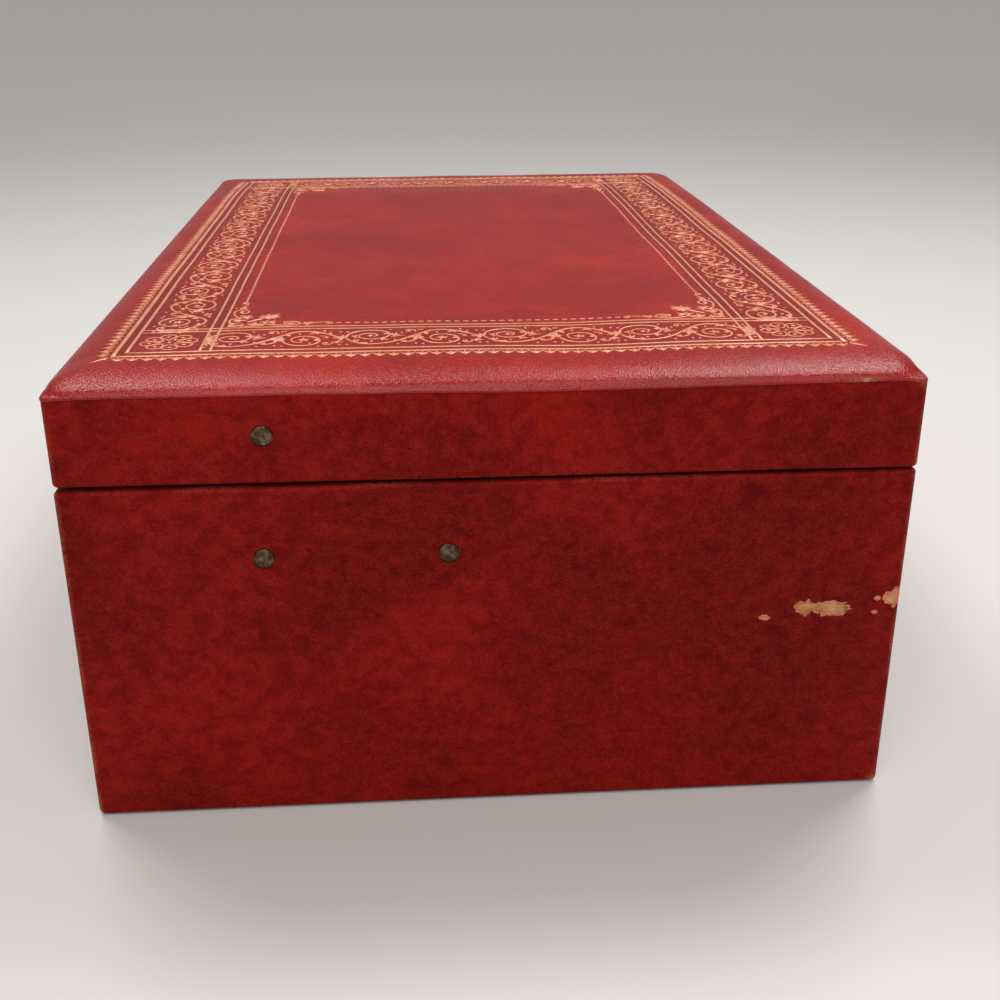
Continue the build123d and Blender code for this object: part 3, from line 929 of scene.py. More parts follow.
@dataclass
class Sleeve:
    """A covering laid round four walls and turned over the edges at its open sides."""

    name: str
    low: Vector
    high: Vector
    corner: float
    turn_up: float
    turn_down: float
    lip: float
    drop_front: float = 0.0
    cell: float = 8 * MM
    near_rim: tuple[float, ...] = (1.15 * MM, 1.7 * MM, 2.8 * MM, 4.6 * MM)
    near_corner: tuple[float, ...] = (0.6 * MM, 1.6 * MM, 3.2 * MM)

    def is_upright(self, edge: Edge) -> bool:
        """Say whether an edge stands along a corner of the box."""
        return climb(edge) > 0.5 * (self.high.z - self.low.z)

    def is_outside(self, place: Vector) -> bool:
        """Say whether a place is on the outer walls.

        Args:
            place: The place of a point.

        Returns:
            Whether it is on a wall's outer face or on the round of a corner.
        """
        past_x = abs(place.x) - (self.high.x - self.corner)
        past_y = abs(place.y) - (self.high.y - self.corner)
        if past_x > 0 and past_y > 0:
            return math.hypot(past_x, past_y) > 0.96 * self.corner
        return max(past_x, past_y) > 0.98 * self.corner

    def is_rim(self, edge: Edge, level: float) -> bool:
        """Say whether an edge lies on the outer outline at an open side."""
        near = self.drop_front + 0.02 * MM
        return all(abs(point.co.z - level) < near and self.is_outside(point.co) for point in edge.verts)

    def places(self, low: float, high: float, close: Sequence[float]) -> list[float]:
        """Lay out cuts between two faces, close to both and even between.

        Args:
            low: The place of the first face.
            high: The place of the second face.
            close: The gaps from a face to the close cuts.

        Returns:
            The places of the cuts.
        """
        count = math.ceil((high - low) / self.cell)
        even = [low + (high - low) * index / count for index in range(1, count)]
        far = [place for place in even if min(place - low, high - place) > close[-1] * 1.3]
        return [low + gap for gap in close] + far + [high - gap for gap in close]

    def make(self) -> Piece:
        """Model the covering and return it."""
        piece = block(self.name, self.low, self.high)
        across = tuple(self.corner + gap for gap in self.near_corner)
        with shaping(piece):
            for sign, depth in ((1, self.turn_up), (-1, self.turn_down)):
                choose(piece, Part.FACE, lambda face: face.normal.z * sign > 0.9)
                bpy.ops.mesh.inset(thickness=depth, depth=0, use_boundary=True)
                bpy.ops.mesh.delete(type="FACE")
            round_edges(piece, self.corner, 6, self.is_upright)
            lower_front(piece, self.low.z, self.drop_front)
            for level in (self.low.z, self.high.z):
                round_edges(piece, self.lip, 3, lambda edge: self.is_rim(edge, level))
            slice_at(0, self.places(self.low.x, self.high.x, across))
            slice_at(1, self.places(self.low.y, self.high.y, across))
            slice_at(2, self.places(self.low.z, self.high.z, self.near_rim))
        return piece


@dataclass
class Chip:
    """A place at the left end where the covering is torn away.

    The place is measured from the back face and from the table.
    """

    from_back: float
    height: float
    length: float
    rise: float
    seed: float
    bare: bool = True
    corners: int = 44
    coarse: tuple[float, float] = (0.45, 1.6 * MM)
    fine: tuple[float, float] = (0.30, 0.55 * MM)

    def tool(self, case: Vector, torn: Material, grow: float, depth: float) -> Piece:
        """Make the ragged plug that takes the covering away.

        Args:
            case: The highest corner of the case, which gives its end and back faces.
            torn: The material of the torn edge.
            grow: How much larger the plug is than the chip.
            depth: How deep it reaches.

        Returns:
            The plug.
        """
        clear()
        middle = Vector((-case.x, case.y - self.from_back, self.height))
        bpy.ops.mesh.primitive_circle_add(vertices=self.corners, radius=0.5, fill_type="NGON", location=middle)
        plug = bpy.context.object
        plug.rotation_euler = (0, -math.pi / 2, 0)
        plug.scale = (self.rise + grow, self.length + grow, 1)
        fix(plug)
        for point in plug.data.vertices:
            ragged = 1 + sum(share * steady(point.co, span, self.seed) for share, span in (self.coarse, self.fine))
            point.co = middle + (point.co - middle) * ragged
        with shaping(plug):
            bpy.ops.mesh.select_all(action="SELECT")
            bpy.ops.transform.translate(value=(depth, 0, 0))
            bpy.ops.mesh.extrude_region_move(TRANSFORM_OT_translate={"value": (-2 * depth - 0.5 * MM, 0, 0)})
        face_out(plug)
        plug.data.materials.append(torn)
        return plug


@dataclass
class CoveredCase(Assembly):
    """What the covered base and the covered lid have in common."""

    corner: float = 1.8 * MM
    lip: float = 0.8 * MM
    turned: float = 7.0 * MM
    rivet_room: float = 2.44 * MM
    lining: float = 0.4 * MM

    def punch_rivets(self, piece: Piece, node: str) -> None:
        """Punch the holes of a pair of rivets through a covering, with painted shade on their walls: a dark brown
        finish that stands for the shade down in the holes.

        Args:
            piece: The covering.
            node: The construction node of the rivets.
        """
        low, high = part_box(node)
        middle = (0, (low.y + high.y) / 2, (low.z + high.z) / 2)
        punch = rod("rivet_punch", middle, self.rivet_room, 2.1 * high.x, Lie.ALONG, 48)
        # The punch leaves this dark brown on the hole walls as painted shade.
        punch.data.materials.append(self.palette["old_grime"])
        cut(piece, punch)

    def corner_wear(self, place: Vector, high: Vector) -> float:
        """Say how rubbed an upright corner of the case is at a place, from 0 to 1."""
        away = math.hypot(high.x - abs(place.x), high.y - abs(place.y)) - 0.41 * self.corner
        return max(0.0, 1 - away / (0.7 * MM)) * (0.22 + 0.6 * steady(place, 7 * MM))


@dataclass
class BaseCase(CoveredCase):
    """The covered lower case with its linings."""

    body: str = "base"
    turned_under: float = 10.0 * MM
    pile_edge: float = 0.7 * MM
    felt_corner: float = 3 * MM
    felt_rim: float = 6.4 * MM
    felt_cell: float = 6 * MM
    chips: tuple[Chip, ...] = (
        Chip(173.9 * MM, 49.1 * MM, 8.4 * MM, 3.3 * MM, 3.1),
        Chip(167.1 * MM, 49.3 * MM, 3.5 * MM, 3.4 * MM, 8.4),
        Chip(170.0 * MM, 49.4 * MM, 3.0 * MM, 2.2 * MM, 2.4),
        Chip(157.6 * MM, 47.4 * MM, 1.9 * MM, 1.1 * MM, 5.2, False),
        Chip(183.9 * MM, 47.8 * MM, 0.9 * MM, 0.5 * MM, 9.3, False),
        Chip(184.4 * MM, 51.5 * MM, 1.0 * MM, 0.6 * MM, 4.6, False),
        Chip(189.7 * MM, 51.7 * MM, 6.4 * MM, 4.2 * MM, 1.7),
    )

    def covering(self) -> None:
        """Model the leatherette round the walls, with its chips, rivet holes and rubbed edges."""
        low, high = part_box("base_wrap")
        thickness = high.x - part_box("base_right_wall")[1].x
        piece = Sleeve("base_covering", low, high, self.corner, self.turned, self.turned_under, self.lip).make()
        ripple(piece, 0.10 * MM, 38 * MM, 4.0, lambda co: 1.0 if co.z > low.z + 2 * MM else 0.0)
        torn = self.palette["torn_paper"]
        piece.data.materials.append(self.palette["side_leatherette"])
        thicken(piece, 0.9 * thickness)
        for chip in self.chips:
            cut(piece, chip.tool(high, torn, 0.7 * MM, 0.3 * thickness))
            if chip.bare:
                cut(piece, chip.tool(high, torn, 0.0, 1.5 * thickness))
        self.punch_rivets(piece, "base_rear_rivets")
        self.punch_rivets(piece, "base_front_rivets")
        clip_low, clip_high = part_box("catch_clip")
        room = Vector((0.2 * MM, 0.1 * MM, 2 * MM))
        cut(piece, block("catch_opening", clip_low - room, clip_high + room))
        smooth(piece, 40)
        set_values(piece, "rubbed", lambda co: self.rubbed(co, low, high))
        self.finish(piece, Slot.SIDES, "base_wrap")

    def rubbed(self, place: Vector, low: Vector, high: Vector) -> float:
        """Say how rubbed the covering is: at its rim, foot and corners, and most near the chips.

        Args:
            place: The place of a point.
            low: The lowest corner of the covering.
            high: Its highest corner.

        Returns:
            The wear, from 0 to 1.
        """
        rim = max(0.0, 1 - (high.z - place.z) / (0.6 * MM)) * (0.06 + 0.5 * steady(place, 14 * MM, 2.0))
        foot = max(0.0, 1 - (place.z - low.z) / (0.6 * MM)) * (0.20 + 0.6 * steady(place, 8 * MM, 5.0))
        upright = self.corner_wear(place, high)
        if place.y < 0 and place.x < 0 and abs(place.z - 46 * MM) < 8 * MM:
            upright *= 2.6
        front_foot = (place - Vector((-high.x, -high.y, low.z))).length
        return within(max(rim, foot, upright, 1.15 - front_foot / (3.2 * MM)))

    def felt(self) -> None:
        """Model the felt under the case, with soft edges and the step over the turned covering."""
        low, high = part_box("base_felt")
        skin = Vector((high.x, high.y, low.z + 0.6 * MM))
        piece = block("base_felt_sheet", low, skin)
        with shaping(piece):
            round_edges(piece, self.felt_corner, 5, lambda edge: climb(edge) > 0.1 * MM)
            choose(piece, Part.FACE, lambda face: face.normal.z > 0.9)
            bpy.ops.mesh.inset(thickness=self.felt_rim, depth=0)
            bpy.ops.mesh.extrude_region_move(TRANSFORM_OT_translate={"value": (0, 0, high.z - skin.z)})
            slice_evenly(0, low.x, self.felt_cell, 48)
            slice_evenly(1, low.y, self.felt_cell, 29)
        ripple(piece, 0.35 * MM, 5 * MM, 3.0,
               lambda co: 1.0 if low.z + 0.1 * MM < co.z < skin.z + 0.1 * MM and
               max(abs(co.x) - high.x, abs(co.y) - high.y) > -1 * MM else 0.0)
        smooth(piece, 50)
        self.finish(piece, Slot.FELT, "base_felt")

    def floor_pad(self) -> None:
        """Model the velvet floor, soft between the dividers and drawn down beside them."""
        low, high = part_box("base_floor_pad")
        long_low, long_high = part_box("base_long_divider")
        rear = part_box("base_rear_divider_right")[0].x
        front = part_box("base_front_divider_right")[0].x
        middle = (long_low.y + long_high.y) / 2

        def near(place: Vector) -> float:
            """Give how far a place is from the nearest wall or divider."""
            cross = rear if place.y > middle else front
            return min(abs(place.y - middle), abs(abs(place.x) - cross) - 1 * MM,
                       high.x - abs(place.x), high.y - abs(place.y))

        piece = FloorPad("base_floor_velvet", low, high, near, 9 * MM, 0.5 * MM, 0.9 * MM, (0.15 * MM, 21 * MM),
                         2.4 * MM).make()
        self.finish(piece, Slot.VELVET, "base_floor_pad")

    def build(self) -> None:
        """Build every piece of the lower case."""
        self.covering()
        self.felt()
        low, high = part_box("base_wall_lining")
        band = LiningBand("base_wall_velvet", low, high, self.lining)
        piece = self.finish(band.make(), Slot.VELVET, "base_wall_lining")
        self.floor_pad()
        for node in ("base_long_divider", "base_rear_divider_left", "base_rear_divider_right",
                     "base_front_divider_left", "base_front_divider_right"):
            self.wrapped(node, node + "_velvet", self.pile_edge, 3, Slot.VELVET)


@dataclass
class LiningBand:
    """Cloth glued round the inside of four walls."""

    name: str
    low: Vector
    high: Vector
    thickness: float
    drop_front: float = 0.0
    corner: float = 0.9 * MM
    cell: float = 10 * MM
    levels: tuple[float, ...] = (0.03, 0.3, 0.6, 0.97)

    def flat(self) -> tuple[float, float]:
        """Give the length and height of the cloth before it was glued in."""
        return 4 * (self.high.x + self.high.y), self.high.z - self.low.z

    def make(self) -> Piece:
        """Model the band and return it."""
        piece = block(self.name, self.low, self.high)
        with shaping(piece):
            choose(piece, Part.FACE, lambda face: abs(face.normal.z) > 0.9)
            bpy.ops.mesh.delete(type="FACE")
            round_edges(piece, self.corner, 4, lambda edge: climb(edge) > 1 * MM)
            lower_front(piece, self.low.z, self.drop_front)
            slice_evenly(0, self.low.x, self.cell, 28)
            slice_evenly(1, self.low.y, self.cell, 17)
            slice_at(2, [self.low.z + share * (self.high.z - self.low.z) for share in self.levels])
        thicken(piece, self.thickness)
        ripple(piece, 0.05 * MM, 18 * MM, 6.0, lambda co: 1.0)
        smooth(piece, 50)
        return piece


def spread(low: float, high: float, close: Sequence[float], step: float) -> list[float]:
    """Lay out lines from one side to the other, close at both edges and even between.

    Args:
        low: The first line.
        high: The last line.
        close: The distances from an edge of the close lines.
        step: The largest distance of the lines between.

    Returns:
        The places, from the lowest to the highest.
    """
    room = high - low - 2 * close[-1]
    count = math.ceil(room / step)
    middle = [low + close[-1] + room * index / count for index in range(1, count)]
    return [low + gap for gap in close] + middle + [high - gap for gap in reversed(close)]


@dataclass
class Pillow:
    """A soft form on a grid that is close at its edges, with a height of its own at every place."""

    name: str
    low: Vector
    high: Vector
    radius: float
    close: Sequence[float]
    step: float
    front_radius: float | None = None

    def over(self, height: Callable[[Vector], float]) -> Piece:
        """Model the upper skin.

        Args:
            height: Gives the level of the skin at a place of the plan.

        Returns:
            The open skin.
        """
        columns = spread(self.low.x, self.high.x, self.close, self.step)
        rows = spread(self.low.y, self.high.y, self.close, self.step)
        clear()
        bpy.ops.mesh.primitive_grid_add(x_subdivisions=len(columns) - 1, y_subdivisions=len(rows) - 1, size=2)
        piece = named(self.name)
        for point in piece.data.vertices:
            column = round((point.co.x + 1) / 2 * (len(columns) - 1))
            row = round((point.co.y + 1) / 2 * (len(rows) - 1))
            place = self.drawn_in(Vector((columns[column], rows[row], 0)))
            place.z = height(place)
            point.co = place
        return piece

    def drawn_in(self, place: Vector) -> Vector:
        """Draw a point near a corner in to the rounded outline.

        Args:
            place: The point's place on the plan.

        Returns:
            Its new place.
        """
        middle = (self.low + self.high) / 2
        front = self.radius if self.front_radius is None else self.front_radius
        radius = self.radius if place.y > middle.y else front
        half = (self.high - self.low) / 2
        away = place - middle
        past = Vector((max(abs(away.x) - half.x + radius, 0), max(abs(away.y) - half.y + radius, 0)))
        if past.x <= 0 or past.y <= 0:
            return place
        past *= max(past.x, past.y) / past.length
        return Vector((middle.x + math.copysign(half.x - radius + past.x, away.x),
                       middle.y + math.copysign(half.y - radius + past.y, away.y), 0))

    def close_at(self, piece: Piece, level: float) -> None:
        """Carry the edge of the skin straight to a level and close it there.

        Args:
            piece: The open skin.
            level: The level of the flat face.
        """
        with shaping(piece):
            choose(piece, Part.EDGE, lambda edge: edge.is_boundary)
            bpy.ops.mesh.extrude_region_move(TRANSFORM_OT_translate={"value": (0, 0, 0)})
            bpy.ops.transform.resize(value=(1, 1, 0), center_override=(0, 0, level))
            bpy.ops.mesh.edge_face_add()
        face_out(piece)


@dataclass
class FloorPad:
    """A thin velvet pad, drawn down along its edges and dividers and softly crowned between them."""

    name: str
    low: Vector
    high: Vector
    near: Callable[[Vector], float]
    shoulder: float
    sunk: float
    rise: float
    wave: tuple[float, float]
    third_line: float
    radius: float = 2 * MM
    step: float = 3.2 * MM

    def height(self, place: Vector) -> float:
        """Give the height of the velvet at a place of the plan."""
        crowned = self.rise * math.sin(within(self.near(place) / self.shoulder) * math.pi / 2)
        return self.high.z - self.sunk + crowned + self.wave[0] * steady(place, self.wave[1])

    def make(self) -> Piece:
        """Model the pad and return it."""
        close = (0, 0.5 * MM, 1.2 * MM, self.third_line, 4.5 * MM)
        pillow = Pillow(self.name, self.low, self.high, self.radius, close, self.step)
        piece = pillow.over(self.height)
        pillow.close_at(piece, self.low.z)
        smooth(piece, 50)
        return piece


@dataclass
class Crown:
    """The shape of the padded top: a roll along the edges, a level middle and slight swells."""

    half_x: float
    half_y: float
    crease: float
    rise: float
    end_shoulder: float
    back_shoulder: float
    front_shoulder: float
    back_power: float = 4.5
    front_power: float = 2.3
    roundness: float = 0.56
    sunk_from: float = 84 * MM
    sunk_over: float = 62 * MM
    sunk_share: float = 0.50
    dip_middle: tuple[float, float] = (-134 * MM, -20 * MM)
    dip_reach: tuple[float, float] = (12 * MM, 15 * MM)

    def share(self, place: Vector) -> float:
        """Say how far up the shoulder a place lies.

        Args:
            place: A place of the plan.

        Returns:
            The share, from 0 at the edge to 1 on the level middle, and below 0 past a corner.
        """
        shoulder = self.back_shoulder if place.y > 0 else self.front_shoulder
        past_x = max(0.0, 1 - (self.half_x - abs(place.x)) / self.end_shoulder)
        past_y = max(0.0, 1 - (self.half_y - abs(place.y)) / shoulder)
        power = self.back_power if place.y > 0 else self.front_power
        return 1 - (past_x ** power + past_y ** power) ** (1 / power)

    def height(self, place: Vector) -> float:
        """Work out the level of the padded top, lower at the far right where the padding has sunk.

        Args:
            place: A place of the plan.

        Returns:
            The level there.
        """
        share = self.share(place)
        droop = min(0.6, -2.5 * min(share, 0.0))
        share = max(share, 0.0)
        roll = max(0.0, share * (2 - share)) ** self.roundness
        back = within((place.x - self.sunk_from) / self.sunk_over)
        roll *= 1 - (self.sunk_share + 0.16 * place.y / self.half_y) * back * back * (3 - 2 * back)
        flat = Vector((place.x, place.y, 0))
        swell = 0.30 * steady(flat, 44 * MM, 3.3) + 0.13 * steady(flat, 17 * MM, 7.1)
        away = zip((place.x, place.y), self.dip_middle, self.dip_reach)
        dip = -0.40 * math.exp(-sum(((value - middle) / reach) ** 2 for value, middle, reach in away))
        rolls = 0.22 * steady(flat, 26 * MM, 1.7) * math.sin(share * math.pi)
        return self.crease + self.rise * roll + (share * (swell + dip) + rolls - droop) * MM


@dataclass
class LidTop(Assembly):
    """The padded and covered top of the lid."""

    body: str = "lid"
    shoulders: tuple[float, float, float] = (13.5 * MM, 11 * MM, 7.5 * MM)
    back_radius: float = 2.2 * MM
    front_radius: float = 2.6 * MM
    cover_thickness: float = 0.5 * MM
    close_lines: tuple[float, ...] = (0, 0.25, 0.6, 1.1, 1.8, 2.7, 3.8, 5.1, 6.6, 8.2, 10, 12)
    step: float = 2.3 * MM
    skirt: float = 0.7 * MM
    skirt_steps: tuple[tuple[float, float], ...] = ((0.22, 0.16), (0.30, 0.08), (0.22, -0.06), (0.12, -0.34))
    foam_lines: tuple[float, ...] = (0, 0.6, 1.6, 3.4, 6, 9)
    foam_step: float = 6 * MM

    def crown(self) -> Crown:
        """Work out the padded shape from the construction."""
        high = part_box("lid_top_cover")[1]
        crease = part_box("lid_side_wrap")[1].z + self.skirt
        return Crown(high.x, high.y, crease, high.z - crease, *self.shoulders)

    def cover(self, crown: Crown) -> Piece:
        """Model the padded leatherette cover with its skirt over the side covering.

        Args:
            crown: The padded shape.

        Returns:
            The cover.
        """
        low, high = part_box("lid_top_cover")
        close = [gap * MM for gap in self.close_lines]
        pillow = Pillow("lid_cover", low, high, self.back_radius, close, self.step, self.front_radius)
        piece = pillow.over(crown.height)
        with shaping(piece):
            choose(piece, Part.EDGE, lambda edge: edge.is_boundary)
            for down, out in self.skirt_steps:
                bpy.ops.mesh.extrude_region_move(TRANSFORM_OT_translate={"value": (0, 0, -down * MM)})
                bpy.ops.transform.resize(value=(1 + out * MM / crown.half_x, 1 + out * MM / crown.half_y, 1),
                                         center_override=(0, 0, crown.crease))
        for point in piece.data.vertices:
            if point.co.z < crown.crease + 0.4 * MM:
                point.co.z += self.wander(point.co) * MM
        thicken(piece, self.cover_thickness)
        smooth(piece, 60)
        set_values(piece, "rubbed", lambda co: self.rubbed(co, crown))
        self.finish(piece, Slot.TOP, "lid_top_cover")
        return piece

    def foam(self, crown: Crown) -> None:
        """Model the foam slab under the cover.

        Args:
            crown: The padded shape.
        """
        low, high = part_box("lid_foam_pad")
        close = [gap * MM for gap in self.foam_lines]
        pillow = Pillow("lid_foam", low, high, self.back_radius, close, self.foam_step, self.front_radius)
        grow = crown.half_x / high.x
        piece = pillow.over(lambda place: max(crown.height(place * grow) - 1.5 * self.cover_thickness,
                                              low.z + 0.1 * MM))
        pillow.close_at(piece, low.z)
        smooth(piece, 50)
        self.finish(piece, Slot.FOAM, "lid_foam_pad")

    def wander(self, place: Vector) -> float:
        """Give how far the skirt's edge strays from level at a place, in millimetres."""
        bow = -0.5 * math.exp(-((place.y + 22 * MM) / (38 * MM)) ** 2) if place.x < 0 else 0.0
        return 0.16 * steady(place, 23 * MM, 5.0) + 0.08 * steady(place, 5 * MM, 2.0) + bow

    def rubbed(self, place: Vector, crown: Crown) -> float:
        """Say how rubbed the cover is: at its corners, and in one streak of the skirt near the front.

        Args:
            place: The place of a point.
            crown: The padded shape.

        Returns:
            The wear, from 0 to 1.
        """
        corner = (place - Vector((-crown.half_x, -crown.half_y, crown.crease + 0.6 * MM))).length
        other = math.hypot(crown.half_x - abs(place.x), crown.half_y - abs(place.y))
        worn_corner = 1.05 - corner / (4.2 * MM)
        others = 0.40 - other / (4.0 * MM)
        streak = 0.0
        if place.x < 0.8 * MM - crown.half_x and place.z < crown.crease + 0.15 * MM:
            streak = max(0.0, 1.25 - abs(place.y + 80.3 * MM) / (3.4 * MM))
        return within(max(worn_corner, others, streak))

    def build(self) -> None:
        """Build every piece of the padded top."""
        crown = self.crown()
        self.foam(crown)
        GoldBorder(self.palette).build(self.cover(crown))


@dataclass
class LidCase(CoveredCase):
    """The covered rails of the lid with their linings."""

    body: str = "lid"
    pad_edge: float = 2.4 * MM
    pad_shoulder: float = 14 * MM
    pad_corner: float = 4 * MM
    gather_depth: float = 0.32 * MM
    gather_reach: float = 12 * MM
    backing_thickness: float = 0.25 * MM
    swell: float = 1.0 * MM
    voxel: float = 4.5 * MM
    gather_pitch: float = 8.0 * MM

    def rims(self) -> tuple[float, float]:
        """Give the level of the covered rim at the back, and how much lower it is in front."""
        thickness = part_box("lid_side_wrap")[1].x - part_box("lid_right_rail")[1].x
        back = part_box("lid_back_rail")[0].z - thickness
        return back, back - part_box("lid_side_wrap")[0].z

    def covering(self) -> None:
        """Model the leatherette round the rails."""
        low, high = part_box("lid_side_wrap")
        thickness = high.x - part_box("lid_right_rail")[1].x
        back, drop = self.rims()
        piece = Sleeve("lid_covering", Vector((low.x, low.y, back)), high, self.corner, thickness, self.turned,
                       self.lip, drop).make()
        ripple(piece, 0.09 * MM, 30 * MM, 9.0, lambda co: 1.0)
        piece.data.materials.append(self.palette["side_leatherette"])
        thicken(piece, 0.9 * thickness)
        self.punch_rivets(piece, "lid_rivets")
        smooth(piece, 40)
        set_values(piece, "rubbed", lambda co: self.rubbed(co, back, high))
        self.finish(piece, Slot.SIDES, "lid_side_wrap")

    def rubbed(self, place: Vector, rim: float, high: Vector) -> float:
        """Say how rubbed the covering is: at its rim, its corners and the near top corner.

        Args:
            place: The place of a point.
            rim: The level of the rim.
            high: The highest corner of the covering.

        Returns:
            The wear, from 0 to 1.
        """
        edge = max(0.0, 1 - abs(place.z - rim + 0.2 * MM) / (0.7 * MM)) * (0.10 + 0.5 * steady(place, 10 * MM, 8.0))
        top_corner = (place - Vector((-high.x, -high.y, high.z))).length
        return within(max(edge, self.corner_wear(place, high), 1.1 - top_corner / (2.6 * MM)))

    def lining_pad(self) -> None:
        """Model the satin pad under the lid board, swelled by its filling and gathered at its edge."""
        low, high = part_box("lid_lining_pad")
        high.z -= self.backing_thickness
        inset = Vector((self.swell, self.swell, 0))
        edge_level = high.z - self.pad_edge
        depth = edge_level - low.z - self.swell

        def height(place: Vector) -> float:
            """Give the level of the pad's face at a place of the plan."""
            near = min(high.x - self.swell - abs(place.x), high.y - self.swell - abs(place.y))
            return edge_level - depth * math.sqrt(1 - (1 - within(near / self.pad_shoulder)) ** 2)

        close = (0, 1.5 * MM, 4 * MM, 8 * MM)
        pillow = Pillow("lid_satin_pad", low + inset, high - inset, self.pad_corner, close, 5 * MM)
        piece = pillow.over(height)
        pillow.close_at(piece, high.z)
        swell(piece, self.voxel, self.swell, lambda co: co.z > high.z - 1 * MM)
        for point in piece.data.vertices:
            near = min(high.x - abs(point.co.x), high.y - abs(point.co.y))
            along = point.co.y if high.x - abs(point.co.x) < high.y - abs(point.co.y) else point.co.x
            fold = math.sin(2 * math.pi * along / self.gather_pitch + 2.2 * steady(point.co, 19 * MM))
            fade = max(0.0, 1 - abs(near - self.pad_corner) / self.gather_reach)
            point.co.z = min(point.co.z + self.gather_depth * fold * fade, high.z)
        smooth(piece, 60)
        self.finish(piece, Slot.SATIN, "lid_lining_pad")

    def backing(self) -> None:
        """Lay the velvet that covers the board between the rails, behind the satin pad."""
        low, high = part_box("lid_lining_pad")
        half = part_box("lid_rail_lining")[1].x - self.lining - 0.1 * MM
        under = high.z - self.backing_thickness
        piece = block("lid_board_velvet", (-half, low.y, under), (half, high.y, high.z))
        with shaping(piece):
            slice_at(0, [8 * MM * step for step in range(-17, 18)])
            slice_at(1, [8 * MM * step for step in range(-10, 11)])
        soften(piece, 0.08 * MM, 2, 40)
        smooth(piece, 40)
        self.finish(piece, Slot.VELVET)

    def build(self) -> None:
        """Build every piece of the lid's case."""
        self.covering()
        self.backing()
        low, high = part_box("lid_rail_lining")
        back, drop = self.rims()
        band = LiningBand("lid_rail_velvet", Vector((low.x, low.y, back)), high, self.lining, drop)
        piece = self.finish(band.make(), Slot.VELVET, "lid_rail_lining")
        self.lining_pad()


Stroke = list[tuple[float, float, float]]


def placed(strokes: Sequence[Stroke], matrix: Matrix) -> list[Stroke]:
    """Move a set of strokes on the plan.

    Args:
        strokes: The strokes.
        matrix: The move, turn and scale.

    Returns:
        The moved strokes.
    """
    moved = []
    for stroke in strokes:
        points = [matrix @ Vector((x, y, 0)) for x, y, _ in stroke]
        moved.append([(point.x, point.y, width) for point, (_, _, width) in zip(points, stroke)])
    return moved


def dot(x: float, y: float, size: float) -> Stroke:
    """Draw a dot as a short fat stroke."""
    half = size / 2
    return [(x - half, y, 0.25 * size), (x - 0.45 * half, y, 1.05 * size),
            (x + 0.45 * half, y, 1.05 * size), (x + half, y, 0.25 * size)]


def leaf(start: tuple[float, float], angle: float, length: float, width: float, curl: float = 0.0) -> Stroke:
    """Draw a pointed leaf that swells and tapers, from its stalk outwards.

    Args:
        start: The place of the stalk.
        angle: The direction of the leaf, in degrees.
        length: Its length.
        width: Its greatest width.
        curl: How many degrees it turns along its length.

    Returns:
        The stroke.
    """
    x, y = start
    stroke = [(x, y, 0.3 * width)]
    for share in (0.9, 1.0, 0.55, 0.08):
        x += length / 4 * math.cos(math.radians(angle))
        y += length / 4 * math.sin(math.radians(angle))
        stroke.append((x, y, share * width))
        angle += curl / 4
    return stroke


def fan(start: tuple[float, float], leaves: Sequence[tuple[float, float, float, float]]) -> list[Stroke]:
    """Draw several leaves from one stalk, each by its angle, length, width and curl."""
    return [leaf(start, *shape) for shape in leaves]


def spiral(centre: tuple[float, float], radii: tuple[float, float], start: float, turn: float,
           width: float, count: int) -> Stroke:
    """Draw a stem that winds in from one radius to another.

    Args:
        centre: The middle of the spiral.
        radii: The radius at the start and at the end.
        start: The angle at the start, in degrees.
        turn: How far it turns, in degrees, negative for clockwise.
        width: The width of the stem.
        count: How many points it is drawn by.

    Returns:
        The stroke.
    """
    stroke = []
    for index in range(count + 1):
        share = index / count
        angle = math.radians(start + turn * share)
        radius = radii[0] + (radii[1] - radii[0]) * share ** 0.85
        stroke.append((centre[0] + radius * math.cos(angle), centre[1] + radius * math.sin(angle), width))
    return stroke


def stem(places: Sequence[tuple[float, float]], width: float = 0.55, end: float | None = None) -> Stroke:
    """Draw a stem through places, narrowing to its end where one is given."""
    last = len(places) - 1
    end = width if end is None else end
    return [(x, y, width + (end - width) * index / last) for index, (x, y) in enumerate(places)]


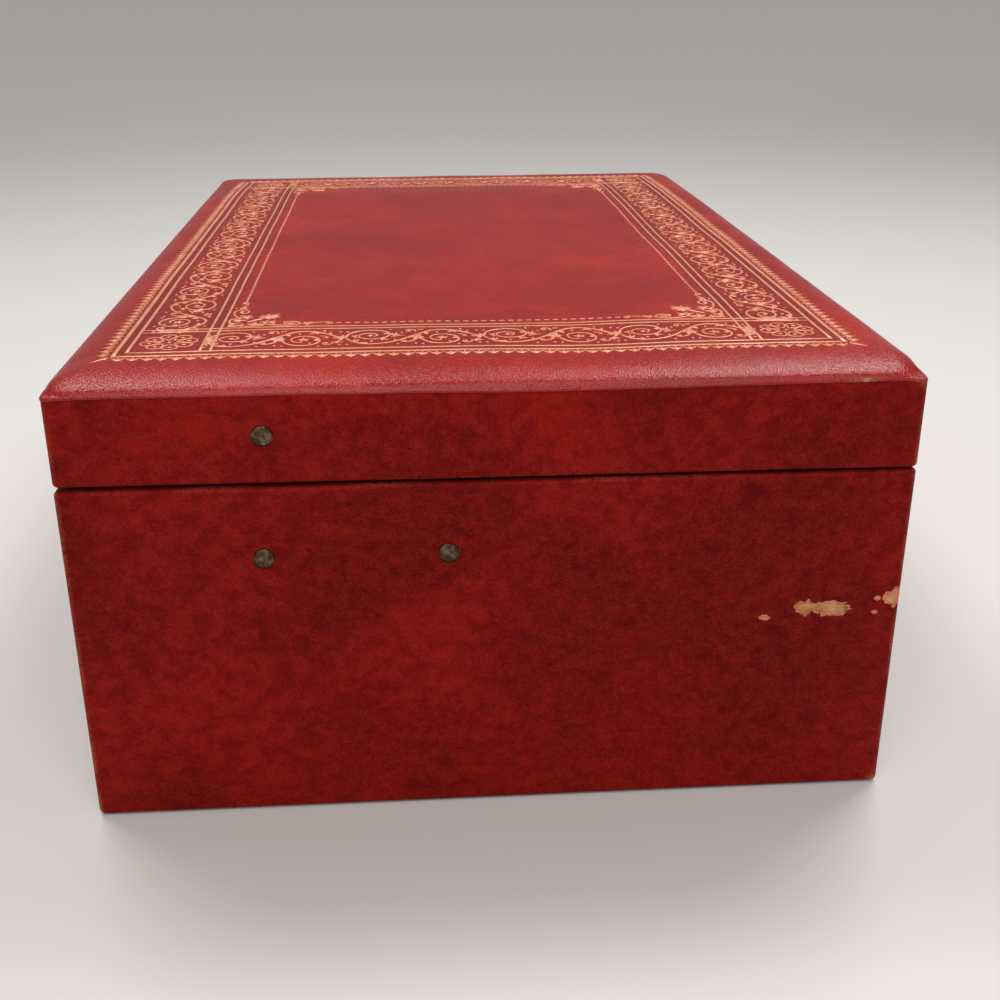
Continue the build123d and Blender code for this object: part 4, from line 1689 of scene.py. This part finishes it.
@dataclass
class GoldBorder(Assembly):
    """The gilt border of the padded top, drawn stroke by stroke as a finisher's tools press it.

    Its strokes are in millimetres on the plan of the lid: a place and the width of the line there.
    """

    body: str = "lid"
    plan: BorderPlan = BorderPlan()
    rule_step: float = 7.0
    edging_pitch: float = 3.2
    cell_widths: tuple[float, float] = (17.2, 14.8)
    cell_height: float = 17.3
    dash_pitch: float = 2.2
    flourish_reach: float = 24.6
    foil_thickness: float = 0.06
    held_over: float = 0.2

    def frames(self) -> dict[str, tuple[float, float]]:
        """Give the half sizes of each rectangle of rules in millimetres."""
        return {key: (x / MM, y / MM) for key, (x, y) in self.plan.frames().items()}

    def foil(self, name: str, strokes: Sequence[Stroke], cover: Piece, detail: int) -> None:
        """Press a set of strokes onto the cover as thin foil.

        Args:
            name: The new piece's name.
            strokes: Each a row of points with the width of the stroke there.
            cover: The padded cover that they lie on.
            detail: How many pieces each part of a stroke is drawn in.
        """
        data = bpy.data.curves.new(name, "CURVE")
        data.dimensions = "3D"
        data.twist_mode = "Z_UP"
        data.extrude = 0.5 * MM
        data.resolution_u = detail
        middle_x, middle_y = self.plan.middle
        for stroke in strokes:
            spline = data.splines.new("NURBS")
            spline.points.add(len(stroke) - 1)
            for point, (x, y, width) in zip(spline.points, stroke):
                point.co = (x * MM + middle_x, y * MM + middle_y, 0, 1)
                point.radius = width
                point.tilt = math.pi / 2
            spline.order_u = min(3, len(stroke))
            spline.use_endpoint_u = True
        drawn = bpy.data.objects.new(name, data)
        bpy.context.scene.collection.objects.link(drawn)
        pick(drawn)
        bpy.ops.object.convert(target="MESH")
        piece = bpy.context.object
        with shaping(piece):
            bpy.ops.mesh.select_all(action="SELECT")
            bpy.ops.transform.translate(value=(0, 0, self.held_over))
        apply(piece, "SHRINKWRAP", target=cover, wrap_method="PROJECT", use_project_z=True,
              use_negative_direction=True, use_positive_direction=False,
              offset=0.3 * self.foil_thickness * MM)
        apply(piece, "SOLIDIFY", thickness=self.foil_thickness * MM, offset=0)
        face_out(piece)
        self.finish(piece, Slot.GILDING)

    def rules(self) -> list[Stroke]:
        """Draw the straight rules of the border."""
        frames = self.frames()
        strokes = []

        def line(start: tuple[float, float], end: tuple[float, float], width: float) -> None:
            """Draw one rule, with points close enough to follow the padding."""
            count = max(2, round(math.dist(start, end) / self.rule_step))
            strokes.append([(start[0] + (end[0] - start[0]) * step / count,
                             start[1] + (end[1] - start[1]) * step / count, width) for step in range(count + 1)])

        for key, width in (("outer", 0.95), ("inner", 0.75)):
            x, y = frames[key]
            for sign in BOTH_WAYS:
                line((-x - width / 2, sign * y), (x + width / 2, sign * y), width)
                line((sign * x, -y - width / 2), (sign * x, y + width / 2), width)
        for key in ("twin", "second"):
            x, y = frames[key]
            for sign in BOTH_WAYS:
                line((-frames["inner"][0], sign * y), (frames["inner"][0], sign * y), 0.62)
                line((sign * x, -frames["inner"][1]), (sign * x, frames["inner"][1]), 0.62)
        return strokes

    def sides(self, half: tuple[float, float]) -> list[tuple[float, Matrix]]:
        """Find the four sides of a rectangle.

        Args:
            half: The rectangle's half sizes.

        Returns:
            The length of each side and the matrix that lays a row along it, facing out.
        """
        x, y = half
        rows = []
        for length, reach, turn in ((2 * x, y, 0), (2 * y, x, -90), (2 * x, y, 180), (2 * y, x, 90)):
            spin = Matrix.Rotation(math.radians(turn), 4, "Z")
            rows.append((length, spin @ Matrix.Translation((0, reach, 0))))
        return rows

    def edging(self) -> list[Stroke]:
        """Draw the row of small spades that points outwards from the outer rule."""
        spade = [[(0, 0.9, 0.3), (0, 1.7, 0.3), (0, 2.05, 0.9), (0, 2.35, 2.7), (0, 2.75, 2.2), (0, 3.2, 0.8),
                  (0, 3.9, 0.1)]]
        bracket = [(0.55, 1.9, 0.2), (1.0, 2.0, 0.28), (1.35, 1.7, 0.28), (1.6, 1.2, 0.22)]
        spade.append(bracket)
        spade.append([(-x, y, width) for x, y, width in bracket])
        strokes = []
        for length, matrix in self.sides(self.frames()["outer"]):
            count = round(length / self.edging_pitch)
            for index in range(count):
                along = length * ((index + 0.5) / count - 0.5)
                strokes += placed(spade, matrix @ Matrix.Translation((along, 0, 0)))
        x, y = self.frames()["outer"]
        tongue = ((0.6, 0.3), (1.2, 1.0), (1.9, 1.3), (2.7, 0.7), (3.9, 0.15))
        for sign_x, sign_y in ALL_CORNERS:
            strokes.append([(sign_x * (x + out), sign_y * (y + out), width) for out, width in tongue])
        return strokes

    def wide_cell(self) -> list[Stroke]:
        """Draw the wide cell of the running scroll: the stem dips under a spiral that winds in from above."""
        strokes = [
            stem([(-8.6, 0.2), (-7.4, -2.6), (-5.8, -4.6), (-3.6, -5.6), (-0.8, -5.5), (2.2, -4.3),
                  (4.8, -2.0), (6.8, 0.6), (8.6, 2.6)], 0.62),
            stem([(-8.3, 0.8), (-8.1, 2.6), (-6.8, 4.8), (-4.5, 6.1), (-2.0, 6.3), (0.4, 5.5), (1.7, 3.7),
                  (1.8, 1.6), (0.9, -0.3), (-0.9, -1.5), (-3.1, -1.6), (-5.0, -0.6), (-5.6, 1.2),
                  (-4.7, 2.9), (-2.9, 3.5), (-1.3, 2.7), (-0.9, 1.3), (-1.9, 0.4)], 0.6, 0.42),
            dot(0.9, 2.9, 1.3), dot(-2.7, 1.3, 1.3),
            stem([(2.1, 0.0), (3.6, 0.7), (5.2, 1.5)], 0.4),
            spiral((6.4, 5.4), (1.6, 0.5), -30, 330, 0.42, 9), dot(6.4, 5.4, 0.8),
            stem([(8.4, -0.5), (7.9, -2.3), (6.6, -3.9), (5.2, -4.4), (4.3, -3.7), (4.7, -2.9)], 0.5, 0.4),
            dot(5.2, -3.3, 0.9),
        ]
        strokes += fan((-3.4, -5.4), ((150, 2.2, 0.8, -30), (100, 1.8, 0.7, 30)))
        strokes += fan((-5.9, -3.4), ((120, 2.0, 0.8, -40), (60, 1.8, 0.7, 20)))
        strokes += fan((2.7, 1.0), ((110, 2.6, 0.9, -30), (70, 3.2, 0.9, 20), (35, 2.2, 0.7, 30)))
        strokes += fan((-0.2, -1.4), ((-30, 2.0, 0.8, 30), (-80, 1.6, 0.7, 20)))
        strokes += fan((-6.4, 0.6), ((75, 1.8, 0.7, -20), (120, 1.3, 0.6, 0), (-60, 1.5, 0.6, 0)))
        strokes += [dot(x, y, 0.75) for x, y in ((-8.1, 5.0), (1.9, 6.6), (4.6, 3.9), (3.7, -5.9), (8.6, 6.2),
                                                 (-7.9, -5.6), (2.9, -2.4), (-2.4, -3.4), (7.8, -5.6))]
        strokes += fan((8.5, 0.5), ((205, 2.4, 0.9, 20), (240, 2.9, 1.1, 10), (280, 2.6, 1.0, -10),
                                    (320, 1.9, 0.8, -20), (115, 2.2, 0.9, -20), (70, 1.8, 0.8, 20)))
        return strokes

    def narrow_cell(self) -> list[Stroke]:
        """Draw the narrow cell of the running scroll: the stem arches over a spiral with a flower."""
        strokes = [
            stem([(-7.4, 2.6), (-5.7, 4.8), (-3.7, 6.0), (-1.4, 6.3), (0.8, 5.6), (3.0, 4.0), (5.0, 1.8),
                  (6.5, -0.2), (7.4, 0.2)], 0.62),
            stem([(-7.1, -0.6), (-6.6, -3.0), (-4.9, -5.0), (-2.6, -5.9), (-0.3, -5.5), (1.4, -3.9),
                  (1.9, -1.7), (1.1, 0.6), (-0.9, 2.1), (-3.2, 2.0), (-4.8, 0.5), (-4.9, -1.6),
                  (-3.8, -3.1), (-2.1, -3.2)], 0.6, 0.42),
            dot(0.9, -1.2, 1.3), dot(-2.0, -0.9, 1.2),
            spiral((3.4, -4.2), (1.7, 0.5), 40, -330, 0.42, 9), dot(3.4, -4.2, 0.8),
            stem([(1.6, 2.2), (2.8, 1.8), (3.6, 0.8), (3.3, 0.0), (2.6, 0.4)], 0.45, 0.35),
            stem([(5.2, -3.2), (6.2, -2.4), (7.0, -1.0)], 0.4),
        ]
        strokes += fan((-2.0, -0.9), ((20, 1.5, 0.7, 20), (92, 1.5, 0.7, 20), (164, 1.5, 0.7, 20),
                                      (236, 1.5, 0.7, 20), (308, 1.5, 0.7, 20)))
        strokes += fan((-6.1, 4.0), ((-60, 2.2, 0.9, -30), (-95, 1.7, 0.7, 20)))
        strokes += fan((0.4, 5.4), ((-70, 2.0, 0.8, 30), (-120, 1.8, 0.8, -30)))
        strokes += fan((3.4, 3.4), ((-35, 2.0, 0.8, -30), (60, 2.0, 0.8, 20)))
        strokes += fan((5.2, -3.2), ((-20, 2.2, 0.8, 30), (-70, 1.6, 0.7, 20), (40, 1.5, 0.6, 0)))
        strokes += [dot(x, y, 0.75) for x, y in ((-6.7, 6.4), (2.4, 6.5), (6.2, 5.3), (5.0, 0.0), (-0.4, -4.0),
                                                 (6.4, -5.7), (-6.6, -5.9), (-3.2, 3.9), (1.6, -6.4))]
        strokes += fan((7.3, 0.2), ((150, 2.2, 0.9, -20), (190, 2.4, 1.0, 0), (230, 2.2, 0.9, 20),
                                    (100, 2.4, 0.9, 20), (60, 1.8, 0.8, -20)))
        return strokes

    def scrolls(self) -> list[Stroke]:
        """Lay the running scroll along all four sides of the band, with a half palm leaf at both ends."""
        frames = self.frames()
        cells = (self.wide_cell(), self.narrow_cell())
        palm = fan((0.0, 0.0), ((86, 4.6, 1.2, -30), (62, 3.9, 1.1, -20), (32, 3.0, 1.0, 0), (0, 2.4, 1.0, 0),
                                (-32, 3.0, 1.0, 0), (-62, 3.9, 1.1, 20), (-86, 4.6, 1.2, 30)))
        look_in = Matrix.Rotation(math.pi, 4, "Z")
        strokes = []
        wide, narrow = self.cell_widths
        pair = wide + narrow
        for index, (length, matrix) in enumerate(self.sides(frames["twin"])):
            band = (self.plan.band[1] if index % 2 == 0 else self.plan.band[0]) / MM
            pairs = round(length / pair)
            squeeze = Matrix.Diagonal((length / pairs / pair, band / self.cell_height, 1, 1))
            middle = Matrix.Translation((0, band / 2, 0))
            for step in range(pairs):
                start = pair * (step - pairs / 2)
                for cell, offset in zip(cells, (wide / 2, wide + narrow / 2)):
                    along = Matrix.Translation((start + offset, 0, 0))
                    strokes += placed(cell, matrix @ middle @ look_in @ squeeze @ along)
            for sign in BOTH_WAYS:
                ends = Matrix.Translation((sign * length / 2, band / 2, 0)) @ Matrix.Diagonal((-sign, 1, 1, 1))
                strokes += placed(palm, matrix @ ends)
        return strokes

    def rosettes(self) -> list[Stroke]:
        """Draw the eight-petalled rosette of each corner cell."""
        frames = self.frames()
        rosette = [dot(0, 0, 1.0)]
        for petal in range(8):
            turn = 45 * petal + 10
            loop = [(1.7, 0), (3.0, -15), (4.7, -22), (6.1, -16), (6.6, 0), (6.1, 16), (4.7, 22), (3.0, 15), (1.7, 0)]
            rosette.append([(radius * math.cos(math.radians(turn + side)),
                             radius * math.sin(math.radians(turn + side)), 0.42) for radius, side in loop])
            angle = math.radians(turn)
            rosette.append(dot(4.5 * math.cos(angle), 4.5 * math.sin(angle), 1.0))
        strokes = []
        cell_x = (frames["twin"][0] + frames["inner"][0]) / 2
        cell_y = (frames["twin"][1] + frames["inner"][1]) / 2
        for sign_x, sign_y in ALL_CORNERS:
            strokes += placed(rosette, Matrix.Translation((sign_x * cell_x, sign_y * cell_y, 0)))
        return strokes

    def flourish(self) -> list[Stroke]:
        """Draw the flourish of a panel corner, from the corner of the rules inwards."""
        arm = [
            leaf((4.6, 2.7), 205, 3.4, 1.2), dot(4.5, 1.4, 0.9),
            stem([(4.6, 3.8), (4.3, 2.4), (5.4, 1.3), (7.2, 1.0), (9.0, 1.5), (10.0, 3.0), (10.1, 4.8)], 0.6),
            stem([(10.4, 6.6), (9.6, 4.7), (10.3, 2.9), (12.0, 1.9), (14.2, 1.4), (16.4, 1.2), (18.2, 2.0),
                  (18.5, 3.5), (17.3, 4.8), (15.4, 5.0), (14.2, 3.9), (14.9, 2.9)], 0.62, 0.45),
            leaf((17.4, 3.1), 180, 2.7, 1.2), dot(12.0, 3.6, 0.9), dot(20.2, 1.2, 0.7),
            stem([(18.3, 2.6), (19.8, 2.3), (21.4, 2.9), (23.2, 3.7), (25.0, 3.9), (26.3, 3.1), (25.9, 2.2),
                  (24.9, 2.4)], 0.5, 0.4),
            dot(25.1, 2.8, 1.0),
        ]
        arm += fan((7.1, 2.0), ((80, 3.4, 1.3, 0), (118, 2.6, 1.0, 20), (42, 2.8, 1.0, -20)))
        arm += fan((20.0, 2.5), ((58, 2.3, 0.9, -30), (108, 1.9, 0.8, 30), (12, 2.0, 0.8, 20)))
        arm += fan((10.4, 4.6), ((150, 2.3, 0.9, 20), (25, 2.6, 1.0, 30), (-20, 2.2, 0.9, 20)))
        swap = Matrix(((0, 1, 0, 0), (1, 0, 0, 0), (0, 0, 1, 0), (0, 0, 0, 1)))
        head = fan((9.4, 9.4), ((45, 5.0, 2.1, 0), (72, 4.0, 1.5, 20), (18, 4.0, 1.5, -20), (100, 3.0, 1.2, 30),
                                (-10, 3.0, 1.2, -30), (130, 2.2, 1.0, 40), (-40, 2.2, 1.0, -40)))
        head.append(stem([(5.6, 5.6), (7.6, 7.6), (9.6, 9.6)], 1.0, 0.8))
        head.append(dot(9.6, 9.6, 1.8))
        return arm + placed(arm, swap) + head

    def panel(self) -> list[Stroke]:
        """Draw the dashes round the panel and the flourish in each of its corners."""
        frames = self.frames()
        dash = [[(-0.68, 0, 0.4), (-0.4, 0, 0.72), (0.4, 0, 0.72), (0.68, 0, 0.4)]]
        strokes = []
        for length, matrix in self.sides(frames["dashes"]):
            room = length - 2 * self.flourish_reach
            count = round(room / self.dash_pitch)
            for index in range(count + 1):
                strokes += placed(dash, matrix @ Matrix.Translation((room * (index / count - 0.5), 0, 0)))
        corner = self.flourish()
        half_x, half_y = frames["second"]
        for sign_x, sign_y in ALL_CORNERS:
            place = Matrix.Translation((sign_x * half_x, sign_y * half_y, 0))
            strokes += placed(corner, place @ Matrix.Diagonal((-sign_x, -sign_y, 1, 1)))
        return strokes

    def build(self, cover: Piece) -> None:
        """Press every part of the border onto the cover."""
        for name, draw, detail in (("gilt_rules", self.rules, 3), ("gilt_edging", self.edging, 2),
                                   ("gilt_scrolls", self.scrolls, 2), ("gilt_rosettes", self.rosettes, 3),
                                   ("gilt_panel", self.panel, 2)):
            self.foil(name, draw(), cover, detail)


@dataclass
class Hinge(Assembly):
    """The piano hinge, with countersunk screws in both leaves."""

    body: str = "base"
    screws: int = 7
    screw_margin: float = 13 * MM
    leaf_rise: float = 0.5 * MM
    screw_radius: float = 1.75 * MM
    screw_depth: float = 0.42 * MM
    slot_width: float = 0.45 * MM
    edge: float = 0.08 * MM

    def screw_places(self) -> list[tuple[float, float]]:
        """Give the plan place of every screw, along the flat of the leaves."""
        low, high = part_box("hinge_base_leaf")
        y = (low.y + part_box("base_wrap")[1].y) / 2
        first, last = low.x + self.screw_margin, high.x - self.screw_margin
        return [(first + (last - first) * index / (self.screws - 1), y) for index in range(self.screws)]

    def leaf(self, node: str, name: str, body: str, face: float, up: int) -> None:
        """Model one leaf with its screws.

        Args:
            node: The construction node of the leaf.
            name: The new piece's name.
            body: The body that it rides on.
            face: The level of the face that shows when the lid is open.
            up: 1 where that face looks up, and -1 where it looks down.
        """
        self.body = body
        piece = copy_node(node, name)
        piece.data.materials.append(self.palette["hinge_brass"])
        heads = []
        for number, (x, y) in enumerate(self.screw_places()):
            sink = rod("countersink", (x, y, face), self.screw_radius + 0.12 * MM, 2 * self.screw_depth,
                       Lie.UPRIGHT, 28)
            cut(piece, sink)
            heads.append(self.screw(x, y, face, up, 25 + 47 * number))
        soften(piece, self.edge, 1, 50)
        smooth(piece, 35)
        self.finish(piece, Slot.BRASS, node)
        self.finish(join(name + "_screws", heads), Slot.STEEL)

    def screw(self, x: float, y: float, face: float, up: int, turn: float) -> Piece:
        """Model the slotted head of one screw, flush with its leaf.

        Args:
            x: The screw's place along the hinge.
            y: Its place across the hinge.
            face: The level of the leaf's face.
            up: 1 where the face looks up, and -1 where it looks down.
            turn: The turn of its slot, in degrees.

        Returns:
            The head.
        """
        thick = self.screw_depth - 0.04 * MM
        head = rod("screw", (x, y, face - up * (thick / 2 + 0.02 * MM)), self.screw_radius, thick,
                   Lie.UPRIGHT, 28)
        with shaping(head):
            choose(head, Part.FACE, lambda side: side.normal.z * up > 0.9)
            bpy.ops.mesh.inset(thickness=0.22 * MM, depth=0)
            bpy.ops.transform.translate(value=(0, 0, up * 0.03 * MM))
        clear()
        bpy.ops.mesh.primitive_cube_add(size=1, location=(x, y, face), rotation=(0, 0, math.radians(turn)))
        slot = bpy.context.object
        slot.scale = (3 * self.screw_radius, self.slot_width, 0.44 * MM)
        fix(slot)
        cut(head, slot)
        smooth(head, 35)
        return head

    def build(self) -> None:
        """Build both leaves with their screws and the pin."""
        base_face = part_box("base_wrap")[1].z + self.leaf_rise
        lid_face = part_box("lid_back_rail")[0].z - 0.6 * MM - self.leaf_rise
        self.leaf("hinge_base_leaf", "hinge_lower_leaf", "base", base_face, 1)
        self.leaf("hinge_lid_leaf", "hinge_upper_leaf", "lid", lid_face, -1)
        self.body = "base"
        self.wrapped("hinge_pin", "hinge_wire", 0.15 * MM, 2, Slot.STEEL)


@dataclass
class Metalwork(Assembly):
    """The catch, the rivets and the cantilever linkage at both ends."""

    body: str = "base"
    edge: float = 0.14 * MM

    def build(self) -> None:
        """Build every metal piece on the body that carries it."""
        plan = {
            "base": ("catch_clip", "base_rear_rivets", "base_front_rivets", "base_pivot_spacers"),
            "lid": ("catch_stud", "lid_rivets", "lid_pivot_washers"),
            "tray": ("tray_rear_pins", "tray_front_pins"),
        }
        for end in End:
            side = end.value
            plan["rear_arm_" + side] = ("rear_arm_" + side, "link_pin_" + side)
            plan["front_arm_" + side] = ("front_arm_" + side,)
            plan["lid_link_" + side] = ("lid_link_" + side,)
        for body, nodes in plan.items():
            self.body = body
            for node in nodes:
                catch = node.startswith("catch")
                slot = Slot.BRASS if catch or node.endswith("rivets") else Slot.STEEL
                self.wrapped(node, node + "_worked", self.edge, 2, slot, "hinge_brass" if catch else "")


@dataclass
class Tray(Assembly):
    """The velvet-covered tray with its pads and ring rolls."""

    body: str = "tray"
    pile_edge: float = 0.75 * MM
    roll_count: int = 7
    roll_gap: float = 0.7 * MM
    roll_end: float = 2.6 * MM
    roll_cell: float = 5.5 * MM
    pad_crown: float = 0.8 * MM

    def walls(self) -> None:
        """Build the covered walls, the floor and the dividers."""
        for node in ("tray_left_wall", "tray_right_wall", "tray_front_wall", "tray_back_wall",
                     "tray_divider_left", "tray_divider_right", "tray_divider_middle"):
            self.wrapped(node, node + "_velvet", self.pile_edge, 3, Slot.VELVET)
        self.wrapped("tray_floor", "tray_floor_velvet", 0.3 * MM, 2, Slot.VELVET)

    def pad(self, low: Vector, high: Vector) -> Piece:
        """Model one crowned floor pad between two corners."""
        return FloorPad("pad", low, high, lambda place: min(high.x - place.x, place.x - low.x, high.y - place.y,
                                                            place.y - low.y),
                        10 * MM, 0.4 * MM, self.pad_crown, (0.12 * MM, 17 * MM), 2.5 * MM).make()

    def pads(self) -> None:
        """Build the pads of the middle and right compartments."""
        low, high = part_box("tray_floor_pads")
        split_low, split_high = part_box("tray_divider_middle")
        right_low, right_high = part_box("tray_divider_right")
        gap = 0.4 * MM
        middle_end = right_low.x - gap
        pads = [
            self.pad(low, Vector((middle_end, split_low.y - gap, high.z))),
            self.pad(Vector((low.x, split_high.y + gap, low.z)), Vector((middle_end, high.y, high.z))),
            self.pad(Vector((right_high.x + gap, low.y, low.z)), high),
        ]
        piece = join("tray_velvet_pads", pads)
        self.finish(piece, Slot.VELVET, "tray_floor_pads")

    def rolls(self) -> None:
        """Build the row of ring rolls, stuffed tubes of velvet that press against each other."""
        low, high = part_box("tray_ring_rolls")
        pitch = (high.y - low.y + 2 * self.roll_gap) / self.roll_count
        radius = (pitch - self.roll_gap) / 2
        axis_level = high.z - radius
        rolls = []
        for index in range(self.roll_count):
            y = low.y + radius + index * (high.y - low.y - 2 * radius) / (self.roll_count - 1)
            roll = rod("roll", ((low.x + high.x) / 2, y, axis_level), radius, high.x - low.x, Lie.ALONG, 28)
            with shaping(roll):
                round_edges(roll, self.roll_end, 4, lambda edge: abs(edge.calc_face_angle(0)) > 1.2)
                slice_evenly(0, low.x, self.roll_cell, 16)
            for point in roll.data.vertices:
                sag = (axis_level - point.co.z) / radius
                if sag > 0:
                    point.co.z = max(low.z, axis_level - sag * (axis_level - low.z + 1 * MM))
                middle = Vector((point.co.x, y, axis_level))
                point.co = middle + (point.co - middle) * (1 + 0.022 * steady(point.co, 9 * MM, 2.0 + index))
                point.co.z = max(point.co.z, low.z)
            smooth(roll, 60)
            rolls.append(roll)
        piece = join("tray_velvet_rolls", rolls)
        self.finish(piece, Slot.VELVET, "tray_ring_rolls")

    def build(self) -> None:
        """Build every piece of the tray."""
        self.walls()
        self.pads()
        self.rolls()


@dataclass(frozen=True)
class Lamp:
    """A soft rectangular light."""

    name: str
    place: tuple[float, float, float]
    aim: tuple[float, float, float]
    size: tuple[float, float]
    power: float

    def add(self) -> None:
        """Put the lamp in the scene."""
        data = bpy.data.lights.new(self.name, "AREA")
        data.shape = "RECTANGLE"
        data.size, data.size_y = self.size
        data.energy = self.power
        lamp = bpy.data.objects.new(self.name, data)
        lamp.location = self.place
        lamp.rotation_euler = (Vector(self.aim) - Vector(self.place)).to_track_quat("-Z", "Y").to_euler()
        bpy.context.scene.collection.objects.link(lamp)


@dataclass
class Studio:
    """The pale floor, the soft light and the camera at the photograph's place."""

    camera_place: tuple[float, float, float] = (-0.40893, 0.01735, 0.18548)
    yaw: float = -4.11
    pitch: float = -22.471
    roll: float = -0.087
    lens: float = 45.6
    sensor: float = 36.0
    floor_half: float = 40.0
    sky: float = 0.45
    mirrored_sky: float = 0.19
    backdrop: Colour = paint(177, 173, 170)
    lamps: tuple[Lamp, ...] = (
        Lamp("left_overhead", (0.32, 0.38, 0.98), (-0.05, 0.05, 0.08), (0.42, 0.26), 4.6),
        Lamp("right_overhead", (0.32, -0.42, 0.98), (-0.05, -0.05, 0.08), (0.42, 0.32), 6.0),
        Lamp("front_fill", (-0.95, 0.04, 0.95), (-0.15, 0, 0.06), (1.0, 0.8), 8.6),
    )

    def floor(self) -> None:
        """Lay the floor that the box stands on."""
        clear()
        bpy.ops.mesh.primitive_plane_add(size=2 * self.floor_half)
        piece = named("studio_floor")
        # The floor's tones are painted light, set against the lamps' fall-off.
        floor = Surface("pale_floor", near=paint(206, 201, 198), back=paint(202, 199, 196), far=paint(244, 240, 236))
        piece.data.materials.append(floor.make())

    def light(self) -> None:
        """Add the lamps and an even pale surround, which the camera sees as a plain backdrop."""
        for lamp in self.lamps:
            lamp.add()
        world = bpy.data.worlds.new("surround")
        world.use_nodes = True
        nodes, links = world.node_tree.nodes, world.node_tree.links
        even = nodes["Background"]
        even.inputs["Color"].default_value = (1.0, 0.985, 0.975, 1)
        even.inputs["Strength"].default_value = self.sky
        path = nodes.new("ShaderNodeLightPath")
        result = even.outputs["Background"]
        for ray, colour, strength in (("Is Glossy Ray", self.backdrop, self.mirrored_sky / self.backdrop[0]),
                                      ("Is Camera Ray", self.backdrop, 1.0)):
            plain = nodes.new("ShaderNodeBackground")
            plain.inputs["Color"].default_value = (*colour, 1)
            plain.inputs["Strength"].default_value = strength
            mix = nodes.new("ShaderNodeMixShader")
            links.new(path.outputs[ray], mix.inputs["Fac"])
            links.new(result, mix.inputs[1])
            links.new(plain.outputs["Background"], mix.inputs[2])
            result = mix.outputs["Shader"]
        links.new(result, nodes["World Output"].inputs["Surface"])
        bpy.context.scene.world = world

    def camera(self) -> None:
        """Set the camera where the photograph was taken from."""
        data = bpy.data.cameras.new("photo_camera")
        data.lens = self.lens
        data.sensor_width = self.sensor
        data.clip_start, data.clip_end = 0.01, 100
        yaw, pitch = math.radians(self.yaw), math.radians(self.pitch)
        ahead = Vector((math.cos(yaw) * math.cos(pitch), math.sin(yaw) * math.cos(pitch), math.sin(pitch)))
        camera = bpy.data.objects.new("photo_camera", data)
        turn = ahead.to_track_quat("-Z", "Y").to_matrix() @ Matrix.Rotation(math.radians(self.roll), 3, "Z")
        camera.rotation_euler = turn.to_euler()
        camera.location = self.camera_place
        bpy.context.scene.collection.objects.link(camera)
        bpy.context.scene.camera = camera

    def build(self) -> None:
        """Set up floor, light and camera."""
        self.floor()
        self.light()
        self.camera()
        bpy.context.scene.view_settings.view_transform = "Standard"


def dress_nodes(palette: dict[str, Material]) -> None:
    """Give every construction node its finish by the slot that the record names for it.

    Args:
        palette: Every finish by its name.
    """
    slots = {row["node"]: Slot(row["material_slot"]) for row in frame["record"]["subparts"]}
    for name, node in frame["nodes"].items():
        finish = palette[SLOT_FINISH[slots[name]]]
        node.data.materials.clear()
        node.data.materials.append(finish)
        log.info("%s keeps its construction mesh in %s", name, finish.name)


def main() -> None:
    """Dress the whole box and light it."""
    logging.basicConfig(level=logging.INFO, format="%(message)s")
    noise.seed_set(NOISE_SEED)
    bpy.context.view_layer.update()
    palette = {finish.name: finish.make() for finish in FINISHES}
    dress_nodes(palette)
    for assembly in (BaseCase, LidCase, LidTop, Hinge, Metalwork, Tray):
        assembly(palette).build()
    Studio().build()


if __name__ == "__main__":
    main()
